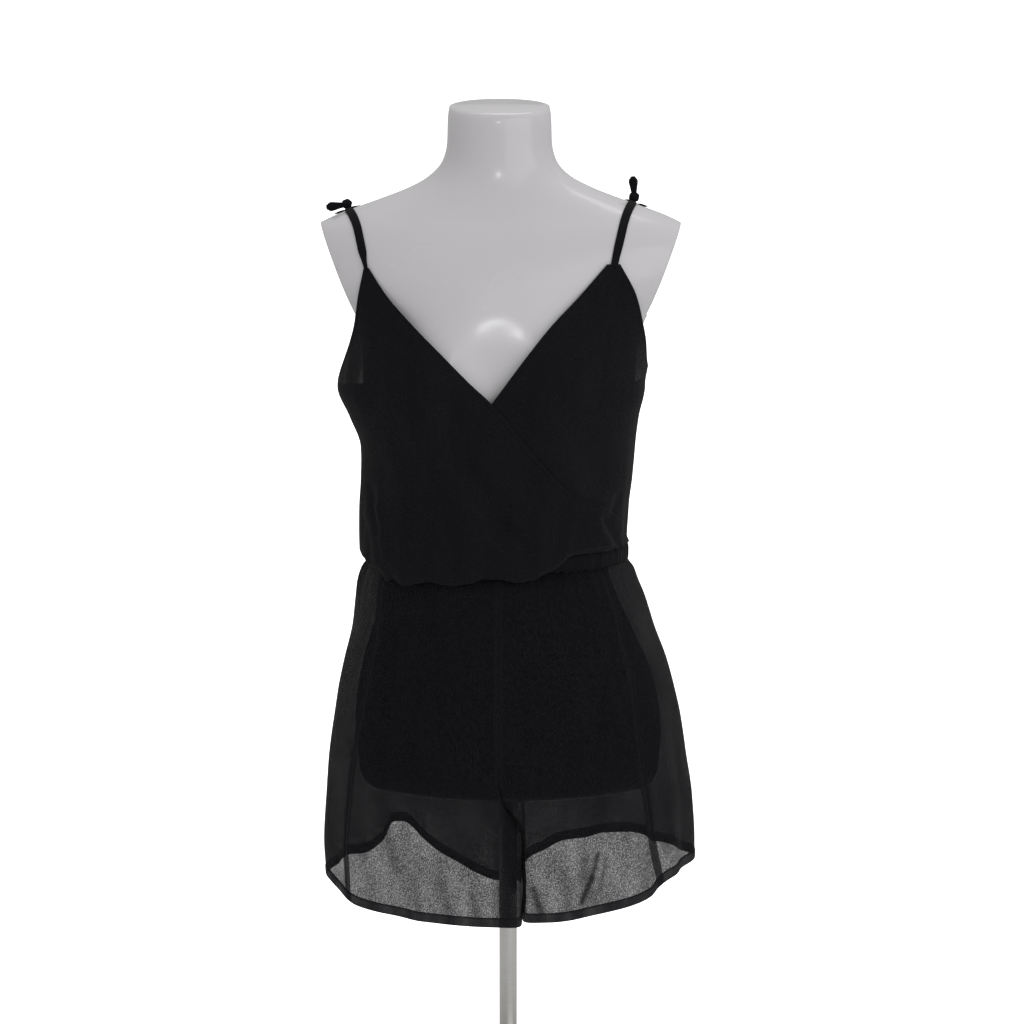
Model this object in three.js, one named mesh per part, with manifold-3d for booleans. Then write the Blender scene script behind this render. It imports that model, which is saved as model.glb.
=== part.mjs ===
// A short wrap-front jumpsuit of sheer black crepe on a white limbless dress form with a steel stand.
// Millimetres, +Z up. The front looks along -Y, and +X is the wearer's left.
// The origin is the middle of the base plate's underside, on the axis of the pole.

import * as THREE from 'three';
import { mergeVertices } from 'three/addons/utils/BufferGeometryUtils.js';
import Module from 'manifold-3d';

const wasm = await Module();
wasm.setup();

// Cloth and seams
const CLOTH = 1.2;
const SEAM_GAP = 0.3;
const LAYER_PITCH = 3.4;
const WAIST_CLEAR = 1.2;
const CASING_WALL = 2.6;
const HEM_DEPTH = 11;
const HEM_WALL = 2.2;

// Stand
const POLE_RADIUS = 10;
const POLE_FIT = 0.3;
const POLE_SOCKET = 60;
const BASE_RADIUS = 165;
const BASE_HEIGHT = 8;
const BASE_BEVEL = 2;
const COLLAR_RADIUS = 21;
const COLLAR_HEIGHT = 46;
const FLANGE_RADIUS = 38;
const FLANGE_HEIGHT = 5;
const TURN_SIDES = 36;

// Dress form: horizontal sections from the flat underside to the neck cap.
// middle is the section's centre across, half its half width, front and back its depths from the pole's axis,
// bust the swell of each side of the chest, and lean the slope of the section towards the front.
const FORM_SECTIONS = [
  { height: 361, middle: 1, half: 155, front: 92, back: 104, bust: 0, lean: 0 },
  { height: 364, middle: 1, half: 161, front: 97, back: 110, bust: 0, lean: 0 },
  { height: 372, middle: 1, half: 165, front: 100, back: 115, bust: 0, lean: 0 },
  { height: 395, middle: 1, half: 168, front: 101, back: 120, bust: 0, lean: 0 },
  { height: 430, middle: 0, half: 170, front: 101, back: 122, bust: 0, lean: 0 },
  { height: 480, middle: -2, half: 163, front: 98, back: 110, bust: 0, lean: 0 },
  { height: 530, middle: -6, half: 146, front: 94, back: 92, bust: 0, lean: 0 },
  { height: 575, middle: -10, half: 129, front: 89, back: 79, bust: 0, lean: 0 },
  { height: 615, middle: -13, half: 121, front: 86, back: 73, bust: 0, lean: 0 },
  { height: 655, middle: -13, half: 123, front: 88, back: 76, bust: 0, lean: 0 },
  { height: 705, middle: -12, half: 131, front: 92, back: 84, bust: 2, lean: 0 },
  { height: 755, middle: -11, half: 141, front: 96, back: 92, bust: 12, lean: 0 },
  { height: 800, middle: -10, half: 148, front: 99, back: 98, bust: 22, lean: 0 },
  { height: 845, middle: -9, half: 150, front: 98, back: 102, bust: 14, lean: 0 },
  { height: 880, middle: -8, half: 158, front: 95, back: 104, bust: 5, lean: 0 },
  { height: 905, middle: -8, half: 184, front: 91, back: 103, bust: 1, lean: 0 },
  { height: 930, middle: -8, half: 210, front: 86, back: 99, bust: 0, lean: 0 },
  { height: 955, middle: -8, half: 217, front: 79, back: 92, bust: 0, lean: 0 },
  { height: 976, middle: -8, half: 205, front: 71, back: 83, bust: 0, lean: 0 },
  { height: 990, middle: -8, half: 180, front: 64, back: 75, bust: 0, lean: 0 },
  { height: 1000, middle: -8, half: 153, front: 60, back: 70, bust: 0, lean: 0 },
  { height: 1010, middle: -8, half: 125, front: 57, back: 65, bust: 0, lean: 0 },
  { height: 1021, middle: -8, half: 97, front: 54, back: 61, bust: 0, lean: 0 },
  { height: 1034, middle: -9, half: 74, front: 52, back: 58, bust: 0, lean: 0.02 },
  { height: 1049, middle: -9, half: 61, front: 51, back: 55, bust: 0, lean: 0.06 },
  { height: 1068, middle: -9, half: 56.5, front: 51, back: 54, bust: 0, lean: 0.11 },
  { height: 1090, middle: -9, half: 56, front: 52, back: 53, bust: 0, lean: 0.15 },
  { height: 1107, middle: -9, half: 55, front: 52, back: 52, bust: 0, lean: 0.15 },
];
const FORM_COLUMNS = 32;
const FORM_RING_STEP = 30;
const SECTION_POWER = 2.15;
const BUST_HALF = 76;
const BUST_WIDTH = 46;

// Flat cuts where the arms would start: half width of the shoulders at the cut's height, and its inward slope.
// Each cut ends at the underarm, where it runs out of the side.
const ARM_CUT_HALF = 193.5;
const ARM_CUT_HEIGHT = 980;
const ARM_CUT_SLOPE = 0.38;
const ARM_CUT_MIDDLE = -7.5;
const UNDERARM_HEIGHT = 886;
const UNDERARM_SLOPE = 0.9;

// Garment above the waist: horizontal sections of its outer face
const BODICE_SECTIONS = [
  { height: 600, middle: -13, half: 151, front: 126, back: 106, bust: 0 },
  { height: 622, middle: -14, half: 149, front: 126, back: 105, bust: 0 },
  { height: 640, middle: -16, half: 147, front: 123, back: 103, bust: 0 },
  { height: 673, middle: -15.4, half: 147.4, front: 119, back: 100, bust: 2 },
  { height: 706, middle: -12.6, half: 148.8, front: 118, back: 99, bust: 4 },
  { height: 740, middle: -11, half: 150.4, front: 117, back: 100, bust: 8 },
  { height: 772, middle: -14.8, half: 158.2, front: 115, back: 102, bust: 13 },
  { height: 805, middle: -18, half: 168, front: 113, back: 105, bust: 16 },
  { height: 840, middle: -13, half: 168, front: 109, back: 108, bust: 12 },
  { height: 880, middle: -10, half: 176, front: 103, back: 110, bust: 5 },
  { height: 910, middle: -9, half: 193, front: 95, back: 108, bust: 1 },
  { height: 945, middle: -8, half: 219, front: 85.5, back: 102, bust: 0 },
];
const WAIST_TOP = 632;
const WAIST_BOTTOM = 614;
const WAIST_SECTION = { middle: -11, half: 143, front: 104, back: 97, bust: 0 };
const WAIST_COLUMNS = 68;

// Edges of the two fronts by height: the armholes, the crossing edges, and where each edge hides under the other.
// x is measured across, as the front shows it.
const RIGHT_ARMHOLE = [
  { height: 806, x: -187 },
  { height: 822, x: -182.5 },
  { height: 840, x: -176 },
  { height: 857, x: -170 },
  { height: 875, x: -165 },
  { height: 908, x: -159.5 },
  { height: 938, x: -153 },
];
const LEFT_ARMHOLE = [
  { height: 815, x: 154 },
  { height: 840, x: 152 },
  { height: 857, x: 150 },
  { height: 875, x: 146 },
  { height: 908, x: 137 },
  { height: 942, x: 119 },
];
const RIGHT_CROSSING = [
  { height: 600, x: 131 },
  { height: 640, x: 124 },
  { height: 661, x: 115 },
  { height: 674, x: 102 },
  { height: 697, x: 71 },
  { height: 716, x: 51.5 },
  { height: 731, x: 38.5 },
  { height: 798, x: -17 },
  { height: 818, x: -38.5 },
  { height: 849, x: -69.5 },
  { height: 879, x: -100.5 },
  { height: 909, x: -128.5 },
  { height: 938, x: -148 },
];
const LEFT_CROSSING = [
  { height: 600, x: -100 },
  { height: 640, x: -99 },
  { height: 674, x: -95 },
  { height: 697, x: -88 },
  { height: 731, x: -70 },
  { height: 798, x: -17 },
  { height: 818, x: -2 },
  { height: 849, x: 21.5 },
  { height: 879, x: 46 },
  { height: 909, x: 75.5 },
  { height: 942, x: 105 },
];
const BODICE_COLUMNS = 14;
const BODICE_ROWS = 22;
const BODICE_BACK_COLUMNS = 20;
const BODICE_BACK_ROWS = 15;
const FRONT_TURN_SHARE = 0.2;
const BACK_TURN_SHARE = 0.28;
const LAYER_FADE_LOW = 830;
const LAYER_FADE_HIGH = 910;
const LAYER_FADE_SIDE = 78;
const BACK_TOP_SIDE = 806;
const BACK_TOP_MIDDLE = 796;
const SIDE_SEAM = Math.PI / 2;

// How far the cloth blouses over the waist casing, by the angle round the body from the front's middle
const BLOUSE_HANG = [
  { angle: -90, hang: 14 },
  { angle: -65, hang: 18 },
  { angle: -50, hang: 27 },
  { angle: -10, hang: 27 },
  { angle: -3, hang: 22 },
  { angle: 10, hang: 24 },
  { angle: 22, hang: 15 },
  { angle: 33, hang: 3 },
  { angle: 42, hang: 0 },
  { angle: 112, hang: 0 },
  { angle: 135, hang: 8 },
  { angle: 180, hang: 17 },
  { angle: 235, hang: 17 },
  { angle: 270, hang: 14 },
];
const BLOUSE_START = 612;
const BLOUSE_END = 600;
const UNDER_END = 601.5;
const BLOUSE_DROP = 8;
const BLOUSE_DIP = 0.65;
const BLOUSE_SETTLE = 700;

// Soft folds of the bodice, as lines in the front's plane: depth is negative for a trough
const BODICE_FOLDS = [
  { x1: -62, z1: 788, x2: -34, z2: 722, width: 19, depth: -3 },
  { x1: -18, z1: 684, x2: 8, z2: 646, width: 19, depth: -4 },
  { x1: 28, z1: 796, x2: 44, z2: 742, width: 20, depth: 3 },
  { x1: 86, z1: 756, x2: 100, z2: 716, width: 19, depth: -5 },
  { x1: 46, z1: 722, x2: 92, z2: 680, width: 17, depth: 3 },
  { x1: -138, z1: 716, x2: -128, z2: 640, width: 17, depth: -3 },
  { x1: -92, z1: 700, x2: -86, z2: 640, width: 18, depth: -3 },
];
const BACK_FOLDS = [
  { x1: -96, z1: 770, x2: -70, z2: 640, width: 18, depth: -4 },
  { x1: -34, z1: 740, x2: -28, z2: 640, width: 17, depth: -4 },
  { x1: 22, z1: 756, x2: 16, z2: 640, width: 18, depth: -5 },
  { x1: 92, z1: 772, x2: 64, z2: 640, width: 18, depth: -4 },
];

// Garment below the waist: horizontal sections of its outer face
const SHORTS_SECTIONS = [
  { height: 613, middle: -11.5, half: 146, front: 106.5, back: 99.5, bust: 0 },
  { height: 598, middle: -11.5, half: 152, front: 111.5, back: 105.5, bust: 0 },
  { height: 572, middle: -8.3, half: 159.7, front: 114, back: 110, bust: 0 },
  { height: 538, middle: -5, half: 167.5, front: 116, back: 115, bust: 0 },
  { height: 504, middle: -2.8, half: 178, front: 118, back: 121, bust: 0 },
  { height: 470, middle: -1.7, half: 186, front: 119, back: 126, bust: 0 },
  { height: 436, middle: -0.6, half: 192, front: 120, back: 130, bust: 0 },
  { height: 402, middle: -0.6, half: 196.8, front: 120, back: 131, bust: 0 },
  { height: 350, middle: 1, half: 202.4, front: 117, back: 129, bust: 0 },
  { height: 298, middle: 1, half: 205, front: 113, back: 124, bust: 0 },
  { height: 262, middle: 2, half: 204, front: 109, back: 119, bust: 0 },
  { height: 220, middle: 2, half: 202, front: 105, back: 114, bust: 0 },
];

// Where the panels of the shorts meet: the side seams as angles, and the centre seam across
const SHORTS_SIDES = [
  { height: 614, right: -54, left: 51 },
  { height: 509, right: -54, left: 48 },
  { height: 422, right: -57, left: 46 },
  { height: 329, right: -60, left: 48 },
  { height: 260, right: -61, left: 53 },
];
const CENTRE_SEAM = [
  { height: 614, x: -10 },
  { height: 395, x: -10 },
  { height: 363, x: -4 },
  { height: 345, x: 7 },
  { height: 330, x: 13 },
  { height: 313, x: 15.5 },
];

// The crotch curve: how far the centre seam has turned in from the outer face towards the inseam
const CROTCH_TURN = [
  { height: 313, share: 1 },
  { height: 320, share: 0.7 },
  { height: 330, share: 0.43 },
  { height: 344, share: 0.2 },
  { height: 361, share: 0.07 },
  { height: 385, share: 0.015 },
  { height: 410, share: 0 },
];
const CROTCH_HEIGHT = 313;

// Rows and columns of the shorts' panels, and the inseam's corner
const SHORTS_LEVELS = [613.7, 598, 570, 535, 495, 455, 415, 385, 361, 344, 330, 320, 313, 285, 258, 230];
const INSEAM_Y = 4;
const INSEAM_CORNER = 12;
const INSEAM_CLEAR = 0.6;
const INSEAM_REACH = 110;
const FRONT_COLUMNS = 15;
const BACK_COLUMNS = 20;
const INNER_COLUMNS = 5;
const INNER_LEAST = 9;

// The hem's height across, at the front and at the back
const HEM_LINE = [
  { x: -206, front: 258, back: 258 },
  { x: -184, front: 243, back: 258 },
  { x: -168, front: 236, back: 256 },
  { x: -144, front: 233, back: 268 },
  { x: -132, front: 232, back: 289 },
  { x: -122, front: 231, back: 288 },
  { x: -96, front: 227, back: 261 },
  { x: -78, front: 226.5, back: 245 },
  { x: -59, front: 225.5, back: 234 },
  { x: -33, front: 224.5, back: 220 },
  { x: -9, front: 224, back: 212 },
  { x: 15.2, front: 223.5, back: 212 },
  { x: 16, front: 229, back: 232 },
  { x: 45, front: 229, back: 249 },
  { x: 63, front: 230, back: 258 },
  { x: 90, front: 234, back: 264 },
  { x: 112, front: 237.5, back: 273 },
  { x: 143, front: 244, back: 277 },
  { x: 158, front: 250, back: 274 },
  { x: 166, front: 259, back: 269 },
  { x: 182, front: 267.5, back: 270 },
  { x: 210, front: 275, back: 277 },
];
const HEM_BLEND = 45;
const HEM_LEVEL = 250;

// Hanging folds of the shorts: angle round the body, width in degrees, depth at the hem, height where each starts
const SHORTS_FOLDS = [
  { angle: -84, width: 7, depth: 3, start: 560 },
  { angle: -70, width: 7, depth: -4, start: 520 },
  { angle: -30, width: 9, depth: -2.5, start: 420 },
  { angle: 28, width: 9, depth: -2.5, start: 430 },
  { angle: 60, width: 6, depth: 3.5, start: 560 },
  { angle: 72, width: 6, depth: -4.5, start: 560 },
  { angle: 86, width: 7, depth: 3, start: 540 },
  { angle: 104, width: 8, depth: -5, start: 520 },
  { angle: 124, width: 8, depth: 5, start: 480 },
  { angle: 143, width: 8, depth: -6, start: 460 },
  { angle: 163, width: 8, depth: 4, start: 440 },
  { angle: 198, width: 9, depth: 5, start: 440 },
  { angle: 219, width: 9, depth: -6, start: 470 },
  { angle: 240, width: 8, depth: 5, start: 500 },
  { angle: 258, width: 7, depth: -4, start: 520 },
];
const GATHERS = 17;
const GATHER_DEPTH = 1.9;
const GATHER_LENGTH = 50;

// Straps and ties. x is where the strap runs, by the angle over the shoulder from the front of the chest.
// peakSewn and backSewn are how far a strap's end lies over the edge that it is sewn to.
const STRAP_WIDTH = 9.5;
const STRAP_WALL = 1.8;
const STRAP_SEAT = 0.7;
const KNOT_SEAT = 0.1;
const STRAP_CENTRE = 925;
const STRAP_REACH = 400;
const KNOT_SIZE = new THREE.Vector3(6.6, 5.8, 5.6);
const LOOP_LENGTH = 18;
const LOOP_OPENING = 7;
const LOOP_WIDTH = 10.5;
const LOOP_PINCH = 0.6;
const LANDING_ROWS = 4;
const STRAP_FRONT_ROWS = 12;
const STRAP_BACK_ROWS = 20;
const TAIL_ROWS = 4;
const FRONT_SEARCH = [5, 60];
const BACK_SEARCH = [240, 150];
const SEARCH_STEPS = 24;
const TIES = {
  right: {
    route: [
      { angle: 12, x: -150.5 },
      { angle: 45, x: -159 },
      { angle: 90, x: -172 },
      { angle: 130, x: -146 },
      { angle: 180, x: -108 },
      { angle: 232, x: -92 },
    ],
    peak: 938,
    peakSewn: 1.6,
    backSewn: 1,
    frontEnd: 84,
    backStart: 97,
    tail: [98, 121],
    tailShift: -13,
    loopTurn: 188,
  },
  left: {
    route: [
      { angle: 12, x: 112 },
      { angle: 45, x: 122 },
      { angle: 90, x: 134.5 },
      { angle: 130, x: 118 },
      { angle: 180, x: 84 },
      { angle: 232, x: 66 },
    ],
    peak: 942,
    peakSewn: 2.3,
    backSewn: 0.8,
    frontEnd: 84.5,
    backStart: 96,
    tail: [97, 119],
    tailShift: 13,
    loopTurn: 94,
  },
};

const DEGREE = Math.PI / 180;
const FRONT = 1;
const BACK = -1;

const mix = THREE.MathUtils.lerp;
const bell = (offset) => Math.exp(-offset * offset);
const ease = (value, low, high) => THREE.MathUtils.smoothstep(value, low, high);

// Smooth value of one column of a table, where key is the column that the rows are sorted by
function tableAt(rows, key, column, at) {
  const sorted = rows[0][key] < rows[rows.length - 1][key] ? rows : [...rows].reverse();
  const last = sorted.length - 1;
  if (at <= sorted[0][key]) return sorted[0][column];
  if (at >= sorted[last][key]) return sorted[last][column];
  const index = sorted.findIndex((row, i) => i < last && at <= sorted[i + 1][key]);
  const steep = (i) => {
    const low = sorted[i];
    const high = sorted[i + 1];
    return (high[column] - low[column]) / (high[key] - low[key]);
  };
  const tangent = (i) => {
    if (i === 0) return steep(0);
    if (i === last) return steep(last - 1);
    const before = steep(i - 1);
    const after = steep(i);
    return before * after <= 0 ? 0 : (2 * before * after) / (before + after);
  };
  const span = sorted[index + 1][key] - sorted[index][key];
  const t = (at - sorted[index][key]) / span;
  const rise = 3 * t * t - 2 * t * t * t;
  const out = (t * t * t - 2 * t * t + t) * span * tangent(index);
  const back = (t * t * t - t * t) * span * tangent(index + 1);
  return mix(sorted[index][column], sorted[index + 1][column], rise) + out + back;
}

function sectionAt(sections, height) {
  const section = {};
  for (const column of Object.keys(sections[0])) {
    section[column] = tableAt(sections, 'height', column, height);
  }
  return section;
}

// Point of a section at an angle round the body, from the middle of the front towards the wearer's left
function sectionPoint(section, angle, height, swell = 0) {
  const across = Math.sin(angle);
  const along = Math.cos(angle);
  const flat = 2 / SECTION_POWER;
  const x = section.half * Math.sign(across) * Math.abs(across) ** flat;
  const depth = along > 0 ? section.front : section.back;
  let y = -depth * Math.sign(along) * Math.abs(along) ** flat;
  if (along > 0) {
    const chest = bell((x - BUST_HALF) / BUST_WIDTH) + bell((x + BUST_HALF) / BUST_WIDTH);
    y -= section.bust * along * chest;
  }
  const radial = new THREE.Vector3(across, -along, 0).multiplyScalar(swell);
  return new THREE.Vector3(section.middle + x, y, height).add(radial);
}

// Angle where a section reaches a place across, on its front or its back
function angleAt(section, x, face) {
  const share = THREE.MathUtils.clamp((x - section.middle) / section.half, -1, 1);
  const angle = Math.asin(Math.sign(share) * Math.abs(share) ** (SECTION_POWER / 2));
  return face === FRONT ? angle : Math.PI - angle;
}

function solidGeometry(points, faces) {
  const geometry = new THREE.BufferGeometry();
  geometry.setAttribute('position', new THREE.Float32BufferAttribute(points.flatMap((p) => p.toArray()), 3));
  geometry.setIndex(faces.flat());
  geometry.computeVertexNormals();
  return geometry;
}

// Closed solid through rings of points, from the bottom ring to the top one, with flat ends
function loft(rings) {
  const count = rings[0].length;
  const points = rings.flat();
  const faces = [];
  for (let r = 0; r < rings.length - 1; r += 1) {
    for (let c = 0; c < count; c += 1) {
      const a = r * count + c;
      const b = r * count + ((c + 1) % count);
      faces.push([a, b, b + count], [a, b + count, a + count]);
    }
  }
  for (const [ring, up] of [[rings[0], false], [rings[rings.length - 1], true]]) {
    const centre = ring.reduce((sum, p) => sum.add(p), new THREE.Vector3()).divideScalar(count);
    const hub = points.push(centre) - 1;
    const start = up ? (rings.length - 1) * count : 0;
    for (let c = 0; c < count; c += 1) {
      const a = start + c;
      const b = start + ((c + 1) % count);
      faces.push(up ? [a, b, hub] : [b, a, hub]);
    }
  }
  return solidGeometry(points, faces);
}

// Cloth wall on a surface(u, v) whose face points outwards when u runs to the wearer's left and v runs up.
// sink is how far the outer face lies under the surface, and a loop closes u on itself.
function clothWall(surface, { columns, rows, wall = CLOTH, sink = () => 0, loop = false }) {
  const step = 0.004;
  const uCount = loop ? columns : columns + 1;
  const points = [];
  for (let r = 0; r <= rows; r += 1) {
    for (let c = 0; c < uCount; c += 1) {
      const u = c / columns;
      const v = r / rows;
      const uLow = loop ? u - step : Math.max(0, u - step);
      const uHigh = loop ? u + step : Math.min(1, u + step);
      const alongU = surface(uHigh, v).sub(surface(uLow, v));
      const alongV = surface(u, Math.min(1, v + step)).sub(surface(u, Math.max(0, v - step)));
      const normal = alongU.cross(alongV).normalize();
      const place = surface(u, v);
      const depth = sink(u, v);
      points.push(place.clone().addScaledVector(normal, -depth));
      points.push(place.clone().addScaledVector(normal, -depth - wall));
    }
  }
  const faces = [];
  const at = (r, c, layer) => (r * uCount + (c % uCount)) * 2 + layer;
  const quad = (a, b, c, d) => faces.push([a, b, c], [a, c, d]);
  for (let r = 0; r < rows; r += 1) {
    for (let c = 0; c < columns; c += 1) {
      quad(at(r, c, 0), at(r, c + 1, 0), at(r + 1, c + 1, 0), at(r + 1, c, 0));
      quad(at(r, c, 1), at(r + 1, c, 1), at(r + 1, c + 1, 1), at(r, c + 1, 1));
    }
  }
  for (let c = 0; c < columns; c += 1) {
    quad(at(0, c, 0), at(0, c, 1), at(0, c + 1, 1), at(0, c + 1, 0));
    quad(at(rows, c, 0), at(rows, c + 1, 0), at(rows, c + 1, 1), at(rows, c, 1));
  }
  for (let r = 0; r < rows && !loop; r += 1) {
    quad(at(r, 0, 0), at(r + 1, 0, 0), at(r + 1, 0, 1), at(r, 0, 1));
    quad(at(r, columns, 0), at(r, columns, 1), at(r + 1, columns, 1), at(r + 1, columns, 0));
  }
  return solidGeometry(points, faces);
}

function toManifold(geometry) {
  const plain = geometry.clone();
  plain.deleteAttribute('normal');
  if (plain.attributes.uv) plain.deleteAttribute('uv');
  const merged = mergeVertices(plain, 1e-4);
  return new wasm.Manifold(new wasm.Mesh({
    numProp: 3,
    vertProperties: new Float32Array(merged.attributes.position.array),
    triVerts: new Uint32Array(merged.index.array),
  }));
}

function fromManifold(solid) {
  const mesh = solid.getMesh();
  const geometry = new THREE.BufferGeometry();
  geometry.setAttribute('position', new THREE.BufferAttribute(mesh.vertProperties, 3));
  geometry.setIndex(new THREE.BufferAttribute(mesh.triVerts, 1));
  geometry.computeVertexNormals();
  return geometry;
}

const material = (color, roughness, metalness) => new THREE.MeshStandardMaterial({ color, roughness, metalness });
const CREPE = material(0x17161a, 0.85, 0);
const GLOSS_WHITE = material(0xc8c5c8, 0.25, 0);
const STEEL = material(0xb4b4b2, 0.35, 0.9);

const model = new THREE.Group();

function add(name, geometry, finish) {
  const mesh = new THREE.Mesh(geometry, finish);
  mesh.name = name;
  model.add(mesh);
  return mesh;
}

// Dress form

function formHeights() {
  const heights = [];
  for (let i = 0; i < FORM_SECTIONS.length - 1; i += 1) {
    const low = FORM_SECTIONS[i].height;
    const high = FORM_SECTIONS[i + 1].height;
    const steps = Math.ceil((high - low) / FORM_RING_STEP);
    for (let s = 0; s < steps; s += 1) heights.push(mix(low, high, s / steps));
  }
  heights.push(FORM_SECTIONS[FORM_SECTIONS.length - 1].height);
  return heights;
}

function formRing(height) {
  const section = sectionAt(FORM_SECTIONS, height);
  const ring = [];
  for (let c = 0; c < FORM_COLUMNS; c += 1) {
    const point = sectionPoint(section, (c / FORM_COLUMNS) * 2 * Math.PI, height);
    point.z += section.lean * point.y;
    ring.push(point);
  }
  return ring;
}

function armCutter(side) {
  const reach = 400;
  const box = new THREE.BoxGeometry(reach, reach, reach);
  box.translate((side * reach) / 2, 0, 0);
  box.rotateY(side * Math.atan(ARM_CUT_SLOPE));
  box.translate(ARM_CUT_MIDDLE + side * ARM_CUT_HALF, 0, ARM_CUT_HEIGHT);
  const underarmHalf = ARM_CUT_HALF - ARM_CUT_SLOPE * (ARM_CUT_HEIGHT - UNDERARM_HEIGHT);
  const underarm = new THREE.Vector3(ARM_CUT_MIDDLE + side * underarmHalf, 0, UNDERARM_HEIGHT);
  const up = new THREE.Vector3(side * UNDERARM_SLOPE, 0, 1).normalize();
  return toManifold(box).trimByPlane(up.toArray(), up.dot(underarm));
}

function dressForm() {
  const bottom = FORM_SECTIONS[0].height;
  const bore = new THREE.CylinderGeometry(POLE_RADIUS + POLE_FIT, POLE_RADIUS + POLE_FIT, 2 * POLE_SOCKET, 32);
  bore.rotateX(Math.PI / 2);
  bore.translate(0, 0, bottom);
  let body = toManifold(loft(formHeights().map(formRing)));
  for (const cutter of [armCutter(-1), armCutter(1), toManifold(bore)]) body = body.subtract(cutter);
  return fromManifold(body);
}

// Stand

function turned(profile) {
  const points = profile.map(([radius, height]) => new THREE.Vector2(radius, height));
  const lathe = new THREE.LatheGeometry(points, TURN_SIDES);
  lathe.rotateX(Math.PI / 2);
  const merged = toManifold(lathe);
  return fromManifold(merged);
}

function standParts() {
  const bottom = FORM_SECTIONS[0].height;
  const poleLow = BASE_HEIGHT + SEAM_GAP;
  const poleTop = bottom + POLE_SOCKET - SEAM_GAP;
  const inner = POLE_RADIUS + POLE_FIT;
  add('base_plate', turned([
    [0, 0], [BASE_RADIUS, 0], [BASE_RADIUS, BASE_HEIGHT - BASE_BEVEL],
    [BASE_RADIUS - BASE_BEVEL, BASE_HEIGHT], [0, BASE_HEIGHT],
  ]), STEEL);
  add('base_collar', turned([
    [inner, poleLow], [COLLAR_RADIUS, poleLow], [COLLAR_RADIUS, COLLAR_HEIGHT - BASE_BEVEL],
    [COLLAR_RADIUS - BASE_BEVEL, COLLAR_HEIGHT], [inner, COLLAR_HEIGHT], [inner, poleLow],
  ]), STEEL);
  add('form_flange', turned([
    [inner, bottom - FLANGE_HEIGHT], [FLANGE_RADIUS - BASE_BEVEL, bottom - FLANGE_HEIGHT],
    [FLANGE_RADIUS, bottom - FLANGE_HEIGHT + BASE_BEVEL], [FLANGE_RADIUS, bottom - SEAM_GAP],
    [inner, bottom - SEAM_GAP], [inner, bottom - FLANGE_HEIGHT],
  ]), STEEL);
  add('pole', turned([
    [0, poleLow], [POLE_RADIUS, poleLow], [POLE_RADIUS, poleTop], [0, poleTop],
  ]), STEEL);
}

// Bodice

function foldSwell(folds, x, z) {
  let swell = 0;
  for (const fold of folds) {
    const dx = fold.x2 - fold.x1;
    const dz = fold.z2 - fold.z1;
    const along = ((x - fold.x1) * dx + (z - fold.z1) * dz) / (dx * dx + dz * dz);
    const t = THREE.MathUtils.clamp(along, 0, 1);
    const away = Math.hypot(x - fold.x1 - t * dx, z - fold.z1 - t * dz);
    swell += fold.depth * bell(away / fold.width);
  }
  return swell;
}

// Outer face of the bodice. Levels above BLOUSE_START are heights. Below it the cloth turns under, to the casing.
function bodicePoint(angle, level) {
  const turn = Math.max(0, (BLOUSE_START - level) / (BLOUSE_START - BLOUSE_END));
  const degrees = angle / DEGREE;
  const hang = tableAt(BLOUSE_HANG, 'angle', 'hang', degrees);
  const start = WAIST_TOP + SEAM_GAP - hang + BLOUSE_DROP;
  const nominal = Math.max(level, BLOUSE_START);
  const settle = (BLOUSE_SETTLE - start) / (BLOUSE_SETTLE - BLOUSE_START);
  const height = nominal < BLOUSE_SETTLE ? BLOUSE_SETTLE - (BLOUSE_SETTLE - nominal) * settle : nominal;
  const section = sectionAt(BODICE_SECTIONS, height);
  const plain = sectionPoint(section, angle, height);
  const folds = Math.cos(angle) > 0 ? BODICE_FOLDS : BACK_FOLDS;
  const fade = ease(Math.abs(Math.cos(angle)), 0, 0.3);
  const outer = sectionPoint(section, angle, height, fade * foldSwell(folds, plain.x, height));
  if (turn === 0) return outer;
  const seam = sectionPoint(WAIST_SECTION, angle, WAIST_TOP + 2 * SEAM_GAP, WAIST_CLEAR);
  const path = outer.lerp(seam, turn);
  path.z -= 4 * BLOUSE_DIP * hang * turn * (1 - turn);
  return path;
}

// Levels of a panel of the bodice, so that the turned-under part has rows of its own
function bodiceLevel(v, top, turnShare, end = BLOUSE_END) {
  if (v < turnShare) return mix(end, BLOUSE_START, v / turnShare);
  return mix(BLOUSE_START, top, (v - turnShare) / (1 - turnShare));
}

const trim = (radius) => SEAM_GAP / 2 / radius;

function rightFront() {
  const top = RIGHT_ARMHOLE[RIGHT_ARMHOLE.length - 1].height;
  const surface = (u, v) => {
    const level = bodiceLevel(v, top, FRONT_TURN_SHARE);
    const section = sectionAt(BODICE_SECTIONS, Math.max(level, BLOUSE_START));
    const armhole = angleAt(section, tableAt(RIGHT_ARMHOLE, 'height', 'x', level), FRONT);
    const side = level > RIGHT_ARMHOLE[0].height ? armhole : -SIDE_SEAM;
    const crossing = angleAt(section, tableAt(RIGHT_CROSSING, 'height', 'x', level), FRONT);
    return bodicePoint(mix(side + trim(section.half), crossing, u), level);
  };
  return clothWall(surface, { columns: BODICE_COLUMNS, rows: BODICE_ROWS });
}

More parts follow.
